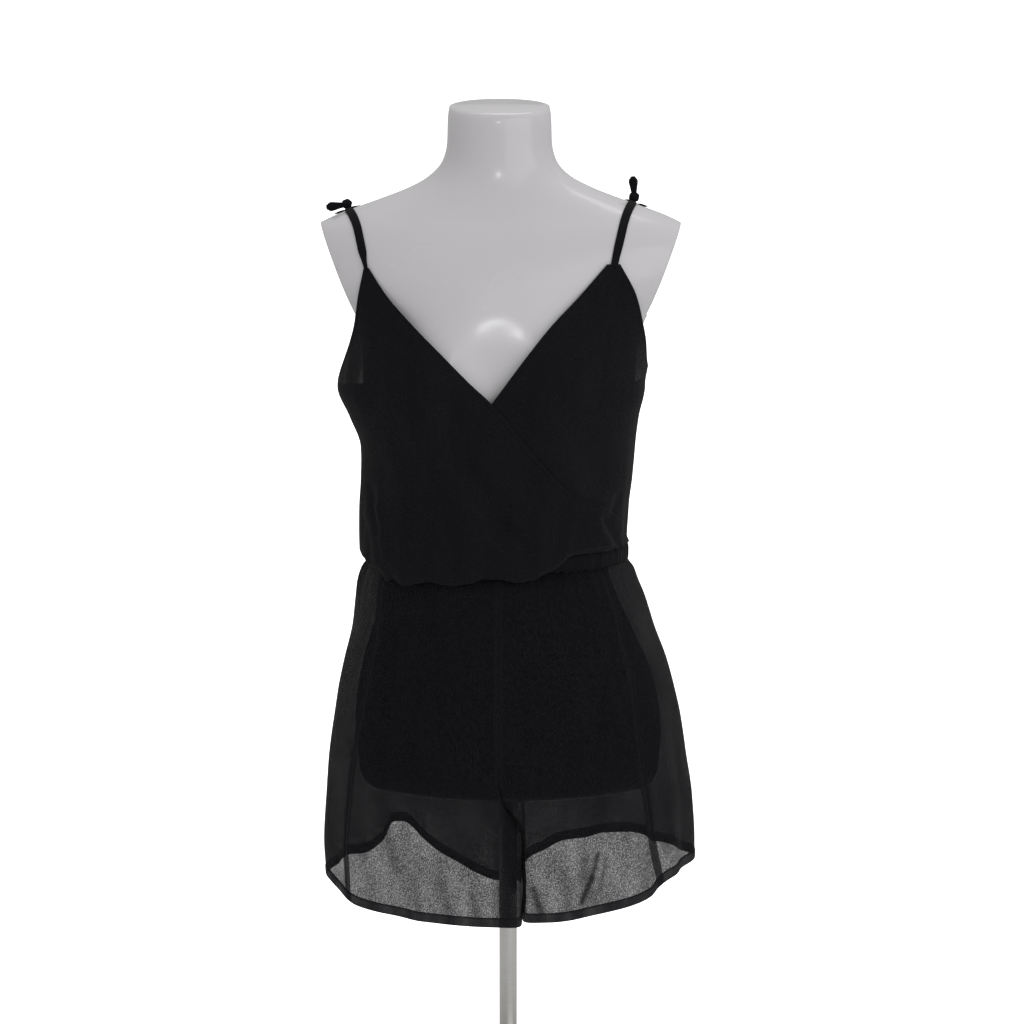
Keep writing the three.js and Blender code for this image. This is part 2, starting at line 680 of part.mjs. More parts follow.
function leftFront() {
  const top = LEFT_ARMHOLE[LEFT_ARMHOLE.length - 1].height;
  const levelAt = (v) => bodiceLevel(v, top, FRONT_TURN_SHARE, UNDER_END);
  const angle = (u, v) => {
    const level = levelAt(v);
    const section = sectionAt(BODICE_SECTIONS, Math.max(level, BLOUSE_START));
    const armhole = angleAt(section, tableAt(LEFT_ARMHOLE, 'height', 'x', level), FRONT);
    const side = level > LEFT_ARMHOLE[0].height ? armhole : SIDE_SEAM;
    const crossing = angleAt(section, tableAt(LEFT_CROSSING, 'height', 'x', level), FRONT);
    return mix(crossing, side - trim(section.half), u);
  };
  const surface = (u, v) => bodicePoint(angle(u, v), levelAt(v));
  const sink = (u, v) => {
    const covered = 1 - ease(angle(u, v), LAYER_FADE_SIDE * DEGREE, SIDE_SEAM);
    return LAYER_PITCH * covered * (1 - ease(levelAt(v), LAYER_FADE_LOW, LAYER_FADE_HIGH));
  };
  return clothWall(surface, { columns: BODICE_COLUMNS, rows: BODICE_ROWS, sink });
}

function backBodice() {
  const surface = (u, v) => {
    const angle = mix(SIDE_SEAM, 3 * SIDE_SEAM, u);
    const level = bodiceLevel(v, backTopLevel(angle), BACK_TURN_SHARE);
    const section = sectionAt(BODICE_SECTIONS, Math.max(level, BLOUSE_START));
    const inset = trim(section.half) * (1 - 2 * u);
    return bodicePoint(angle + inset, level);
  };
  return clothWall(surface, { columns: BODICE_BACK_COLUMNS, rows: BODICE_BACK_ROWS });
}

function gatherSwell(angle, height, edge) {
  const near = 1 - ease(Math.abs(height - edge), 0, GATHER_LENGTH);
  return GATHER_DEPTH * near * Math.sin(GATHERS * angle);
}

function waistCasing() {
  const surface = (u, v) => {
    const angle = (u - 0.5) * 2 * Math.PI;
    const gather = gatherSwell(angle, WAIST_BOTTOM, WAIST_BOTTOM) - GATHER_DEPTH;
    return sectionPoint(WAIST_SECTION, angle, mix(WAIST_BOTTOM, WAIST_TOP, v), gather / 2);
  };
  return clothWall(surface, { columns: WAIST_COLUMNS, rows: 1, wall: CASING_WALL, loop: true });
}

// Shorts

function shortsSwell(angle, height) {
  const degrees = ((angle / DEGREE + 450) % 360) - 90;
  let swell = gatherSwell(angle, height, WAIST_BOTTOM);
  for (const fold of SHORTS_FOLDS) {
    const grown = 1 - ease(height, HEM_LEVEL, fold.start);
    swell += fold.depth * grown * bell((degrees - fold.angle) / fold.width);
  }
  return swell;
}

function shortsRing(angle, height) {
  const section = sectionAt(SHORTS_SECTIONS, height);
  return sectionPoint(section, angle, height, shortsSwell(angle, height));
}

// Line of one panel at a height, from the side seam to the centre seam or the inseam. side is -1 for the wearer's
// right leg and 1 for the left one, face is FRONT or BACK.
function panelLine(side, face, height) {
  const section = sectionAt(SHORTS_SECTIONS, height);
  const seamAngle = tableAt(SHORTS_SIDES, 'height', side < 0 ? 'right' : 'left', height) * DEGREE;
  const centre = tableAt(CENTRE_SEAM, 'height', 'x', height);
  const share = tableAt(CROTCH_TURN, 'height', 'share', height);
  const toAngle = (x) => {
    const angle = angleAt(section, x, face);
    return face === BACK && side < 0 ? angle - 2 * Math.PI : angle;
  };
  const faceY = shortsRing(toAngle(centre), height).y;
  const seamY = mix(faceY, INSEAM_Y, share);
  const below = height <= CROTCH_HEIGHT;
  const corner = Math.min(INSEAM_CORNER, Math.abs(seamY - faceY));
  const start = seamAngle + (face === FRONT ? -1 : 1) * side * trim(section.half);
  const end = toAngle(centre + side * Math.max(corner, SEAM_GAP / 2));
  const line = [];
  const ringSteps = 40;
  for (let i = 0; i <= ringSteps; i += 1) line.push(shortsRing(mix(start, end, i / ringSteps), height));
  if (corner > SEAM_GAP) {
    const wallX = centre + side * INSEAM_CLEAR;
    const first = line[line.length - 1];
    const bend = new THREE.Vector3(wallX, faceY, height);
    const inner = new THREE.Vector3(wallX, faceY + face * corner, height);
    const curve = new THREE.QuadraticBezierCurve3(first, bend, inner);
    line.push(...curve.getPoints(6).slice(1));
    const endX = below ? wallX : centre + (side * SEAM_GAP) / 2;
    const endY = below ? seamY - (face * SEAM_GAP) / 2 : seamY;
    line.push(new THREE.Vector3(endX, endY, height));
  }
  return line;
}

function lineLength(line) {
  let length = 0;
  for (let i = 1; i < line.length; i += 1) length += line[i].distanceTo(line[i - 1]);
  return length;
}

// Point at a share of a line's length
function alongLine(line, share) {
  const lengths = [0];
  for (let i = 1; i < line.length; i += 1) lengths.push(lengths[i - 1] + line[i].distanceTo(line[i - 1]));
  const target = share * lengths[lengths.length - 1];
  let i = 1;
  while (i < line.length - 1 && lengths[i] < target) i += 1;
  const piece = lengths[i] - lengths[i - 1];
  return line[i - 1].clone().lerp(line[i], piece > 0 ? (target - lengths[i - 1]) / piece : 0);
}

function hemHeight(point) {
  const front = tableAt(HEM_LINE, 'x', 'front', point.x);
  const back = tableAt(HEM_LINE, 'x', 'back', point.x);
  return mix(front, back, ease(point.y, -HEM_BLEND, HEM_BLEND));
}

// Outer face of a panel, where share runs from the side seam to the centre. The last columns stay on the part that
// turns in at the crotch, so that its corner runs along one column.
function shortsPoint(side, face, share, height) {
  const columns = face === FRONT ? FRONT_COLUMNS : BACK_COLUMNS;
  const outerShare = 1 - INNER_COLUMNS / columns;
  const line = panelLine(side, face, height);
  const length = lineLength(line);
  const turnedIn = tableAt(CROTCH_TURN, 'height', 'share', height) * INSEAM_REACH + INNER_LEAST;
  const outerLength = 1 - turnedIn / length;
  const place = share < outerShare
    ? (share / outerShare) * outerLength
    : mix(outerLength, 1, (share - outerShare) / (1 - outerShare));
  return alongLine(line, place);
}

function shortsLevel(v, low) {
  const place = v * (SHORTS_LEVELS.length - 1);
  const index = Math.min(SHORTS_LEVELS.length - 2, Math.floor(place));
  const level = mix(SHORTS_LEVELS[index], SHORTS_LEVELS[index + 1], place - index);
  if (level > CROTCH_HEIGHT) return level;
  const last = SHORTS_LEVELS[SHORTS_LEVELS.length - 1];
  return mix(CROTCH_HEIGHT, low, (CROTCH_HEIGHT - level) / (CROTCH_HEIGHT - last));
}

function shortsPanel(side, face) {
  const columns = face === FRONT ? FRONT_COLUMNS : BACK_COLUMNS;
  const outward = side * face < 0;
  const surface = (u, v) => {
    const share = outward ? u : 1 - u;
    const low = hemHeight(shortsPoint(side, face, share, HEM_LEVEL)) + HEM_DEPTH + SEAM_GAP;
    return shortsPoint(side, face, share, shortsLevel(1 - v, low));
  };
  return clothWall(surface, { columns, rows: SHORTS_LEVELS.length - 1 });
}

// The turned hem of one leg, a closed band under its two panels, with a column under each of theirs
function hemBand(side) {
  const columns = FRONT_COLUMNS + BACK_COLUMNS + 2;
  const point = (face, share, v) => {
    const low = hemHeight(shortsPoint(side, face, share, HEM_LEVEL));
    return shortsPoint(side, face, share, low + v * HEM_DEPTH);
  };
  // The way round starts at the right leg's side seam, or at the left leg's inseam
  const [firstStart, firstEnd] = side < 0 ? [0, 1] : [1, 0];
  const surface = (u, v) => {
    const place = (((u % 1) + 1) % 1) * columns;
    if (place <= FRONT_COLUMNS) return point(FRONT, mix(firstStart, firstEnd, place / FRONT_COLUMNS), v);
    const past = place - FRONT_COLUMNS - 1;
    if (past < 0) return point(BACK, firstEnd, v).lerp(point(FRONT, firstEnd, v), -past);
    if (past <= BACK_COLUMNS) return point(BACK, mix(firstEnd, firstStart, past / BACK_COLUMNS), v);
    return point(BACK, firstStart, v).lerp(point(FRONT, firstStart, v), past - BACK_COLUMNS);
  };
  return clothWall(surface, { columns, rows: 1, wall: HEM_WALL, loop: true });
}

// Straps and ties

// Point of the form's skin over a shoulder, with the skin's direction there
function shoulderPoint(form, x, degrees) {
  const out = new THREE.Vector3(0, -Math.cos(degrees * DEGREE), Math.sin(degrees * DEGREE));
  const origin = new THREE.Vector3(x, 0, STRAP_CENTRE).addScaledVector(out, STRAP_REACH);
  const ray = new THREE.Raycaster(origin, out.clone().negate());
  const hit = ray.intersectObject(form)[0];
  return { point: hit.point, normal: hit.face.normal.clone() };
}

// Place for a strap on the form: on the highest skin around it, so that a straight stretch clears every ridge
function strapSeat(form, x, degrees, reach) {
  const here = shoulderPoint(form, x, degrees);
  const around = [];
  for (const offset of [-reach, -reach / 2, 0, reach / 2, reach]) {
    for (const side of [-STRAP_WIDTH / 2, 0, STRAP_WIDTH / 2]) {
      around.push(shoulderPoint(form, x + side, degrees + offset));
    }
  }
  const normal = around.reduce((sum, skin) => sum.add(skin.normal), new THREE.Vector3()).normalize();
  const ridge = Math.max(...around.map((skin) => skin.point.clone().sub(here.point).dot(normal)));
  const place = here.point.clone().addScaledVector(normal, ridge + STRAP_SEAT + STRAP_WALL);
  return { place, normal };
}

// Angle at which a route passes a height, between a lower and a higher place on one side of the shoulder
function routeAngle(form, route, height, search) {
  let [below, above] = search;
  for (let i = 0; i < SEARCH_STEPS; i += 1) {
    const middle = (below + above) / 2;
    const z = shoulderPoint(form, tableAt(route, 'angle', 'x', middle), middle).point.z;
    if (z < height) below = middle;
    else above = middle;
  }
  return (below + above) / 2;
}

// Flat strap laid on the form between two angles of its route. A landing moves its first place, and eases out.
function strap(form, route, [from, to], rows, { shift = 0, landing = null } = {}) {
  const reach = Math.abs(to - from) / rows / 2;
  const seats = [];
  for (let r = 0; r <= rows; r += 1) {
    const degrees = mix(from, to, r / rows);
    seats.push(strapSeat(form, tableAt(route, 'angle', 'x', degrees) + shift, degrees, reach));
  }
  if (landing) {
    const move = landing.clone().sub(seats[0].place);
    for (let i = 0; i < LANDING_ROWS; i += 1) {
      seats[i].place.addScaledVector(move, (1 - i / LANDING_ROWS) ** 2);
    }
  }
  const path = new THREE.CatmullRomCurve3(seats.map((seat) => seat.place));
  const surface = (u, v) => {
    const at = v * rows;
    const index = Math.min(rows - 1, Math.floor(at));
    const normal = seats[index].normal.clone().lerp(seats[index + 1].normal, at - index);
    const across = path.getTangent(v).cross(normal).normalize();
    return path.getPoint(v).addScaledVector(across, (u - 0.5) * STRAP_WIDTH);
  };
  return clothWall(surface, { columns: 2, rows, wall: STRAP_WALL });
}

// Place just above the bodice's upper edge, where a strap is sewn on
function sewnPlace(x, level, face, over) {
  const section = sectionAt(BODICE_SECTIONS, level);
  return bodicePoint(angleAt(section, x, face), level).add(new THREE.Vector3(0, 0, over));
}

function backTopLevel(angle) {
  return mix(BACK_TOP_SIDE, BACK_TOP_MIDDLE, Math.sin(angle - SIDE_SEAM));
}

function knotCentre(form, route) {
  const top = shoulderPoint(form, tableAt(route, 'angle', 'x', 90), 90);
  return top.point.clone().addScaledVector(top.normal, KNOT_SEAT + KNOT_SIZE.y);
}

function knot(centre) {
  const ball = new THREE.SphereGeometry(1, 14, 9);
  ball.scale(KNOT_SIZE.x, KNOT_SIZE.y, KNOT_SIZE.z);
  ball.translate(centre.x, centre.y, centre.z);
  return fromManifold(toManifold(ball));
}

// Loop of strap that stands off the knot, with its flat side to the front, and pinched where it is tied
function tieLoop(centre, turnDegrees) {
  const turn = turnDegrees * DEGREE;
  const start = 1 / Math.hypot(Math.cos(turn) / KNOT_SIZE.x, Math.sin(turn) / KNOT_SIZE.z) + SEAM_GAP;
  const surface = (u, v) => {
    const angle = u * 2 * Math.PI;
    const out = (1 - Math.cos(angle)) / 2;
    const along = start + LOOP_LENGTH * out;
    const aside = (v - 0.5) * LOOP_WIDTH * mix(LOOP_PINCH, 1, out);
    return new THREE.Vector3(
      centre.x + along * Math.cos(turn) - aside * Math.sin(turn),
      centre.y - (LOOP_OPENING / 2) * Math.sin(angle),
      centre.z + along * Math.sin(turn) + aside * Math.cos(turn),
    );
  };
  return clothWall(surface, { columns: 18, rows: 1, wall: STRAP_WALL, loop: true });
}

// Assembly

const form = add('form_torso', dressForm(), GLOSS_WHITE);
form.updateMatrixWorld(true);
standParts();
add('bodice_front_right', rightFront(), CREPE);
add('bodice_front_left', leftFront(), CREPE);
add('bodice_back', backBodice(), CREPE);
add('waist_casing', waistCasing(), CREPE);
add('shorts_front_right', shortsPanel(-1, FRONT), CREPE);
add('shorts_front_left', shortsPanel(1, FRONT), CREPE);
add('shorts_back_right', shortsPanel(-1, BACK), CREPE);
add('shorts_back_left', shortsPanel(1, BACK), CREPE);
add('hem_right', hemBand(-1), CREPE);
add('hem_left', hemBand(1), CREPE);
for (const [side, tie] of Object.entries(TIES)) {
  const { route } = tie;
  const peakAngle = routeAngle(form, route, tie.peak + tie.peakSewn, FRONT_SEARCH);
  const peak = sewnPlace(tableAt(route, 'angle', 'x', peakAngle), tie.peak, FRONT, tie.peakSewn);
  const bladeX = route[route.length - 1].x;
  const bladeLevel = backTopLevel(angleAt(sectionAt(BODICE_SECTIONS, BACK_TOP_MIDDLE), bladeX, BACK));
  const bladeAngle = routeAngle(form, route, bladeLevel + tie.backSewn, BACK_SEARCH);
  const blade = sewnPlace(bladeX, bladeLevel, BACK, tie.backSewn);
  const centre = knotCentre(form, route);
  const frontStretch = strap(form, route, [peakAngle, tie.frontEnd], STRAP_FRONT_ROWS, { landing: peak });
  const backStretch = strap(form, route, [bladeAngle, tie.backStart], STRAP_BACK_ROWS, { landing: blade });
  add(`strap_front_${side}`, frontStretch, CREPE);
  add(`strap_back_${side}`, backStretch, CREPE);
  add(`tie_tail_${side}`, strap(form, route, tie.tail, TAIL_ROWS, { shift: tie.tailShift }), CREPE);
  add(`tie_knot_${side}`, knot(centre), CREPE);
  add(`tie_loop_${side}`, tieLoop(centre, tie.loopTurn), CREPE);
}

export default model;
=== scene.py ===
"""A short wrap-front jumpsuit of sheer black crepe, worn on a glossy white limbless dress form on a steel stand.

Sizes are in millimetres. The front looks along -Y and +X is the wearer's left. Angles go round the body in
degrees, from the middle of the front towards the wearer's left.
"""

import math
from functools import lru_cache
from types import SimpleNamespace

import bmesh
import bpy
from mathutils import Matrix, Vector, noise
from mathutils.bvhtree import BVHTree


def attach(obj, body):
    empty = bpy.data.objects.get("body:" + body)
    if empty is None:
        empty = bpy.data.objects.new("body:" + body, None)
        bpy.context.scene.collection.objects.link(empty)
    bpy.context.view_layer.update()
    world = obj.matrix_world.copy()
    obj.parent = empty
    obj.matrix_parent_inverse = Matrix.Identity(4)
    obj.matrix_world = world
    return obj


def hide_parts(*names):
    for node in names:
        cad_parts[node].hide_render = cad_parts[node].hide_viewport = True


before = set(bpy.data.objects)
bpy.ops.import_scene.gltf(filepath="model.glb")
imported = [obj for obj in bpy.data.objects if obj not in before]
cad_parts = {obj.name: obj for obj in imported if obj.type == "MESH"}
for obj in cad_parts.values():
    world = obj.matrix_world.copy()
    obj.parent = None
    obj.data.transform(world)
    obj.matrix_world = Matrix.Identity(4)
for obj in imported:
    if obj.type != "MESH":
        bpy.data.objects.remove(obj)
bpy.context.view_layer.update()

MM = 0.001
FRONT = 1
BACK = -1
SIDES = {"right": -1, "left": 1}


class Table:
    """Rows of named columns, read between the rows as smooth lines that never overshoot."""

    def __init__(self, names, *rows):
        self.names = names.split()
        self.rows = sorted(rows)
        self.at = lru_cache(maxsize=None)(self.read)

    def steepness(self, index, column):
        low, high = self.rows[index], self.rows[index + 1]
        return (high[column] - low[column]) / (high[0] - low[0])

    def tangent(self, index, column):
        last = len(self.rows) - 1
        before = self.steepness(max(index - 1, 0), column)
        after = self.steepness(min(index, last - 1), column)
        if index in (0, last):
            return before
        return 0 if before * after <= 0 else 2 * before * after / (before + after)

    def read(self, key):
        last = len(self.rows) - 1
        key = min(max(key, self.rows[0][0]), self.rows[last][0])
        index = next(i for i in range(last) if key <= self.rows[i + 1][0])
        low, high = self.rows[index], self.rows[index + 1]
        span = high[0] - low[0]
        t = (key - low[0]) / span
        rise = t * t * (3 - 2 * t)
        out, back = t * (1 - t) ** 2 * span, t * t * (t - 1) * span
        values = {}
        for column, name in enumerate(self.names):
            level = low[column] + (high[column] - low[column]) * rise
            bend = out * self.tangent(index, column) + back * self.tangent(index + 1, column)
            values[name] = level + bend
        return SimpleNamespace(**values)


# Dress form
FORM_SECTIONS = Table(
    "height middle half front back bust lean",
    (361, 1, 152, 90, 101, 0, 0),
    (364, 1, 161, 97, 110, 0, 0),
    (372, 1, 165, 100, 115, 0, 0),
    (395, 1, 168, 101, 120, 0, 0),
    (430, 0, 170, 101, 122, 0, 0),
    (480, -2, 163, 98, 110, 0, 0),
    (530, -6, 146, 94, 92, 0, 0),
    (575, -10, 129, 89, 79, 0, 0),
    (615, -13, 121, 86, 73, 0, 0),
    (655, -13, 123, 88, 76, 0, 0),
    (705, -12, 131, 92, 84, 2, 0),
    (755, -11, 141, 96, 92, 12, 0),
    (800, -10, 148, 99, 98, 22, 0),
    (845, -9, 150, 98, 102, 14, 0),
    (880, -8, 158, 95, 104, 5, 0),
    (905, -8, 184, 91, 103, 1, 0),
    (930, -8, 210, 86, 99, 0, 0),
    (955, -8, 217, 79, 92, 0, 0),
    (976, -8, 205, 71, 83, 0, 0),
    (990, -8, 180, 64, 75, 0, 0),
    (1000, -8, 153, 60, 70, 0, 0),
    (1010, -8, 125, 57, 65, 0, 0),
    (1021, -8, 97, 54, 61, 0, 0),
    (1034, -9, 74, 52, 58, 0, 0.02),
    (1049, -9, 61, 51, 55, 0, 0.06),
    (1068, -9, 56.5, 51, 54, 0, 0.11),
    (1090, -9, 56, 52, 53, 0, 0.15),
    (1104, -9, 55, 52, 52, 0, 0.15),
    (1106.2, -9, 54, 51, 51, 0, 0.15),
    (1107, -9, 51.5, 48.5, 48.5, 0, 0.15),
)
SECTION_POWER = 2.15
BUST_HALF = 76
BUST_WIDTH = 46
FORM_COLUMNS = 144
FORM_RING_GAP = 5
FORM_SMOOTHING = 4
ARM_CUT_HALF = 193.5
ARM_CUT_HEIGHT = 980
ARM_CUT_SLOPE = 0.38
ARM_CUT_MIDDLE = -7.5
ARM_RIM = 1.8
UNDERARM_HEIGHT = 884
UNDERARM_SLOPE = 0.9
CAP_LIP = 2

# Stand
POLE_RADIUS = 10
POLE_TOP = 420
BASE_RADIUS = 165
BASE_HEIGHT = 8
COLLAR_RADIUS = 21
COLLAR_HEIGHT = 46
FLANGE_RADIUS = 38
FLANGE_HEIGHT = 5
TURN_STEPS = 96

# Cloth
CREPE_WALL = 0.5
SEAM_ALLOWANCE = 4.5
SHADE_SHARE = 0.35
SECOND_LAYER = 0.66
SEAM_GAP = 0.3
UNDER_SINK = 1.6
BODICE_SECTIONS = Table(
    "height middle half front back bust",
    (600, -13, 151, 126, 106, 0),
    (622, -14, 149, 126, 105, 0),
    (640, -16, 147, 123, 103, 0),
    (673, -15.4, 147.4, 119, 100, 2),
    (706, -12.6, 148.8, 118, 99, 4),
    (740, -11, 150.4, 117, 100, 8),
    (772, -14.8, 158.2, 115, 102, 13),
    (805, -18, 168, 113, 105, 16),
    (840, -13, 168, 109, 108, 12),
    (880, -10, 176, 103, 110, 5),
    (910, -9, 193, 95, 108, 1),
    (945, -8, 219, 85.5, 102, 0),
)
WAIST_TOP = 632
WAIST_BOTTOM = 614
WAIST_SECTION = SimpleNamespace(middle=-11, half=143, front=104, back=97, bust=0)
RIGHT_ARMHOLE = Table("height x", (806, -187), (822, -182.5), (840, -176), (857, -170), (875, -165), (908, -159.5),
                      (938, -153))
LEFT_ARMHOLE = Table("height x", (815, 154), (840, 152), (857, 150), (875, 146), (908, 137), (942, 119))
RIGHT_CROSSING = Table("height x", (600, 131), (640, 124), (661, 115), (674, 102), (697, 71), (716, 51.5),
                       (731, 38.5), (798, -17), (818, -38.5), (849, -69.5), (879, -100.5), (909, -128.5),
                       (938, -148))
LEFT_CROSSING = Table("height x", (600, -100), (640, -99), (674, -95), (697, -88), (731, -70), (798, -17),
                      (818, -2), (849, 21.5), (879, 46), (909, 75.5), (942, 105))
RIGHT_PEAK = 938
LEFT_PEAK = 942
RIGHT_UNDERARM = 806
LEFT_UNDERARM = 815
BACK_TOP_SIDE = 806
BACK_TOP_MIDDLE = 796
BACK_RISE_REACH = 30
LAYER_FADE_LOW = 830
LAYER_FADE_HIGH = 910
LAYER_FADE_SIDE = 78

# How far the cloth blouses over the waist casing
BLOUSE_HANG = Table("angle hang", (-90, 14), (-65, 18), (-50, 27), (-10, 27), (-3, 22), (10, 24), (22, 15), (33, 3),
                    (42, 0), (112, 0), (135, 8), (180, 17), (235, 17), (270, 14))
BLOUSE_START = 612
BLOUSE_END = 600
BLOUSE_DROP = 8
BLOUSE_DIP = 0.65
BLOUSE_PUCKER = 5
BLOUSE_SETTLE = 700
WAIST_CLEAR = 0.8

# Soft folds as lines across the front or the back. A negative depth is a trough.
FOLD_COLUMNS = "x1 z1 x2 z2 width depth"
BODICE_FOLDS = [
    (-62, 788, -48, 733, 16, -4.5),
    (-48, 733, -7, 668, 13, -5),
    (-10, 668, 15, 644, 10, -4),
    (-86, 770, -70, 720, 17, 2.5),
    (16, 700, 36, 668, 16, 3),
    (28, 796, 44, 742, 20, 3),
    (86, 756, 100, 716, 19, -5),
    (46, 722, 92, 680, 17, 3),
    (-138, 716, -128, 640, 17, -3),
    (-92, 700, -86, 640, 18, -3),
    (-150, 700, -143, 655, 4, -2.2),
    (-143, 680, -134, 628, 4.5, 2),
    (-156, 660, -150, 622, 4, -1.8),
    (122, 690, 112, 668, 5, -2.4),
    (104, 668, 119, 642, 4.5, -3),
    (97, 664, 111, 637, 5, 2),
    (-110, 668, -112, 626, 7, -1.4),
    (-58, 652, -60, 618, 7, -1.3),
    (-22, 650, -24, 616, 6, -1.6),
    (22, 646, 20, 618, 6, -1.8),
    (48, 668, 44, 634, 6, -1.6),
    (76, 668, 70, 640, 6, -1.5),
]
BACK_FOLDS = [
    (-96, 770, -70, 640, 18, -4),
    (-34, 740, -28, 640, 17, -4),
    (22, 756, 16, 640, 18, -5),
    (92, 772, 64, 640, 18, -4),
    (-118, 700, -110, 626, 7, -2),
    (-52, 704, -50, 622, 7, 2),
    (-6, 700, -4, 622, 7, -2),
    (46, 706, 44, 622, 7, 2),
    (104, 690, 100, 626, 7, -2),
]

# Shorts
SHORTS_SECTIONS = Table(
    "height middle half front back bust",
    (613, -11.5, 146, 106.5, 99.5, 0),
    (598, -11.5, 152, 111.5, 105.5, 0),
    (572, -8.3, 159.7, 114, 110, 0),
    (538, -5, 167.5, 116, 115, 0),
    (504, -2.8, 178, 118, 121, 0),
    (470, -1.7, 186, 119, 126, 0),
    (436, -0.6, 192, 120, 130, 0),
    (402, -0.6, 196.8, 120, 131, 0),
    (350, 1, 202.4, 117, 129, 0),
    (298, 1, 205, 113, 124, 0),
    (262, 2, 204, 109, 119, 0),
    (220, 2, 202, 105, 114, 0),
)
SHORTS_SIDES = Table("height right left", (614, -54, 51), (509, -54, 48), (422, -57, 46), (329, -60, 48),
                     (260, -61, 53))
CENTRE_SEAM = Table("height x", (614, -10), (395, -10), (363, -4), (345, 7), (330, 13), (313, 15.5))
CROTCH_TURN = Table("height share", (313, 1), (320, 0.7), (330, 0.43), (344, 0.2), (361, 0.07), (385, 0.015),
                    (410, 0))
CROTCH_HEIGHT = 313
CENTRE_GAP = 0.02
INSEAM_Y = 4
INSEAM_CORNER = 12
INSEAM_CLEAR = 0.4
INSEAM_REACH = 110
INNER_LEAST = 9
INNER_SHARE = 0.3
KNEE_LOW = 345
KNEE_HIGH = 440
SHORTS_TOP = 614.8
SHORTS_TUCK = 9
TUCK_DEPTH = 3.6
INSEAM_BOW = 3
LADDER_STEP = 2
HEM_LEVEL = 250
HEM_BLEND = 45
HEM_DEPTH = 11
HEM_WALL = 1.6
HEM_LINE = Table("x front back", (-206, 258, 258), (-184, 243, 258), (-168, 236, 256), (-144, 233, 268),
                 (-132, 232, 289), (-122, 231, 288), (-96, 227, 261), (-78, 226.5, 245), (-59, 225.5, 234),
                 (-33, 224.5, 220), (-9, 224, 212), (15.2, 223.5, 212), (16, 229, 232), (45, 229, 249),
                 (63, 230, 258), (90, 234, 264), (112, 237.5, 273), (143, 244, 277), (158, 250, 274),
                 (166, 259, 269), (182, 267.5, 270), (210, 275, 277))

# Hanging folds of the shorts: angle, width in degrees, depth at the hem, and the height where each starts
SHORTS_FOLDS = [
    (-84, 7, 3, 560),
    (-70, 7, -4, 520),
    (-30, 9, -2.5, 420),
    (28, 9, -2.5, 430),
    (60, 6, 3.5, 560),
    (72, 6, -4.5, 560),
    (86, 7, 3, 540),
    (104, 8, -5, 520),
    (124, 8, 5, 480),
    (143, 8, -6, 460),
    (163, 8, 4, 440),
    (198, 9, 5, 440),
    (219, 9, -6, 470),
    (240, 8, 5, 500),
    (258, 7, -4, 520),
]

# Sharp creases in the shorts' front, where the sheer cloth is pinched double: lines across and up, and widths
SHORTS_CREASES = [
    (-1, 322, 2, 215, 10, 0.9),
    (13, 300, 16, 215, 4, 0.9),
    (98, 306, 91, 278, 2.6, 0.8),
    (91, 278, 80, 250, 3.2, 0.95),
    (106, 300, 101, 262, 2, 0.45),
    (84, 300, 80, 280, 4, 0.3),
    (28, 268, 38, 234, 4, 0.7),
    (62, 285, 66, 236, 5, 0.2),
    (-40, 262, -34, 236, 4, 0.4),
    (-72, 272, -62, 232, 6, 0.2),
    (-104, 280, -98, 240, 5, 0.25),
    (-132, 330, -122, 285, 6, 0.35),
    (-168, 420, -158, 300, 6, 0.3),
    (168, 430, 176, 300, 6, 0.35),
    (182, 380, 190, 300, 5, 0.3),
    (148, 400, 152, 300, 7, 0.2),
]
# Creases in the shorts' back, pinched double. The two wide rows across the seat are partly folds and partly painted
# shade below the torso, made as denser cloth.
SEAT_CREASES_AND_SHADE = [
    (-105, 326, -20, 300, 24, 0.3),
    (28, 322, 108, 322, 22, 0.3),
    (-1, 322, 2, 215, 10, 0.9),
    (-150, 420, -140, 290, 7, 0.25),
    (-70, 440, -64, 280, 8, 0.2),
    (-24, 420, -20, 270, 7, 0.3),
    (60, 430, 66, 290, 8, 0.25),
    (104, 400, 112, 290, 7, 0.3),
    (150, 420, 160, 300, 7, 0.25),
]
GATHERS = 64
GATHER_DEPTH = 2.2
GATHER_LENGTH = 70
RIPPLE_DEPTH = 1.1

# Straps and ties: where each strap runs across, by the angle over the shoulder from the front of the chest
STRAP_WIDTH = 9.2
STRAP_WALL = 1.7
STRAP_SEAT = 0.5
STRAP_CENTRE = 925
STRAP_REACH = 400
STRAP_SEWN = -3
LANDING_ROWS = 5
PINCH_ROWS = 9
KNOT_SIZE = 5.6
LOOP_LENGTH = 18
LOOP_OPENING = 5
LOOP_WIDTH = 10
LOOP_PINCH = 0.6
LOOP_ROUND = 0.45
TIES = {
    "right": SimpleNamespace(
        route=Table("angle x", (12, -150.5), (45, -159), (90, -172), (130, -146), (180, -108), (232, -92)),
        peak=RIGHT_PEAK, blade_x=-92, front_end=86, back_start=95, tail=(97, 121), tail_shift=-13, loop_turn=188,
        twist=0.45,
    ),
    "left": SimpleNamespace(
        route=Table("angle x", (12, 112), (45, 122), (90, 134.5), (130, 118), (180, 84), (232, 66)),
        peak=LEFT_PEAK, blade_x=66, front_end=86.5, back_start=94, tail=(96, 119), tail_shift=13, loop_turn=94,
        twist=0.85,
    ),
}

# Stitches, and how far in from the edges they run
STITCH_PITCH = 3.1
STITCH_LENGTH = 2.3
STITCH_WIDTH = 0.34
STITCH_LIFT = 0.03
EDGE_STITCH = 5.5

# Camera: what it looks at, and from how far and how high
CAMERA_TARGET = (4.4, 0, 665)
CAMERA_DISTANCE = 3000
CAMERA_ELEVATION = 9
CAMERA_LENS = 95.87
SENSOR_WIDTH = 36

# Brightness of the backdrop as the camera sees it, and of the soft light that it throws
BACKDROP_SEEN = 1.4
SOFT_LIGHT = 0.48


def mix(low, high, share):
    return low + (high - low) * share


def ease(value, low, high):
    t = min(max((value - low) / (high - low), 0), 1)
    return t * t * (3 - 2 * t)


def bell(offset):
    return math.exp(-offset * offset)


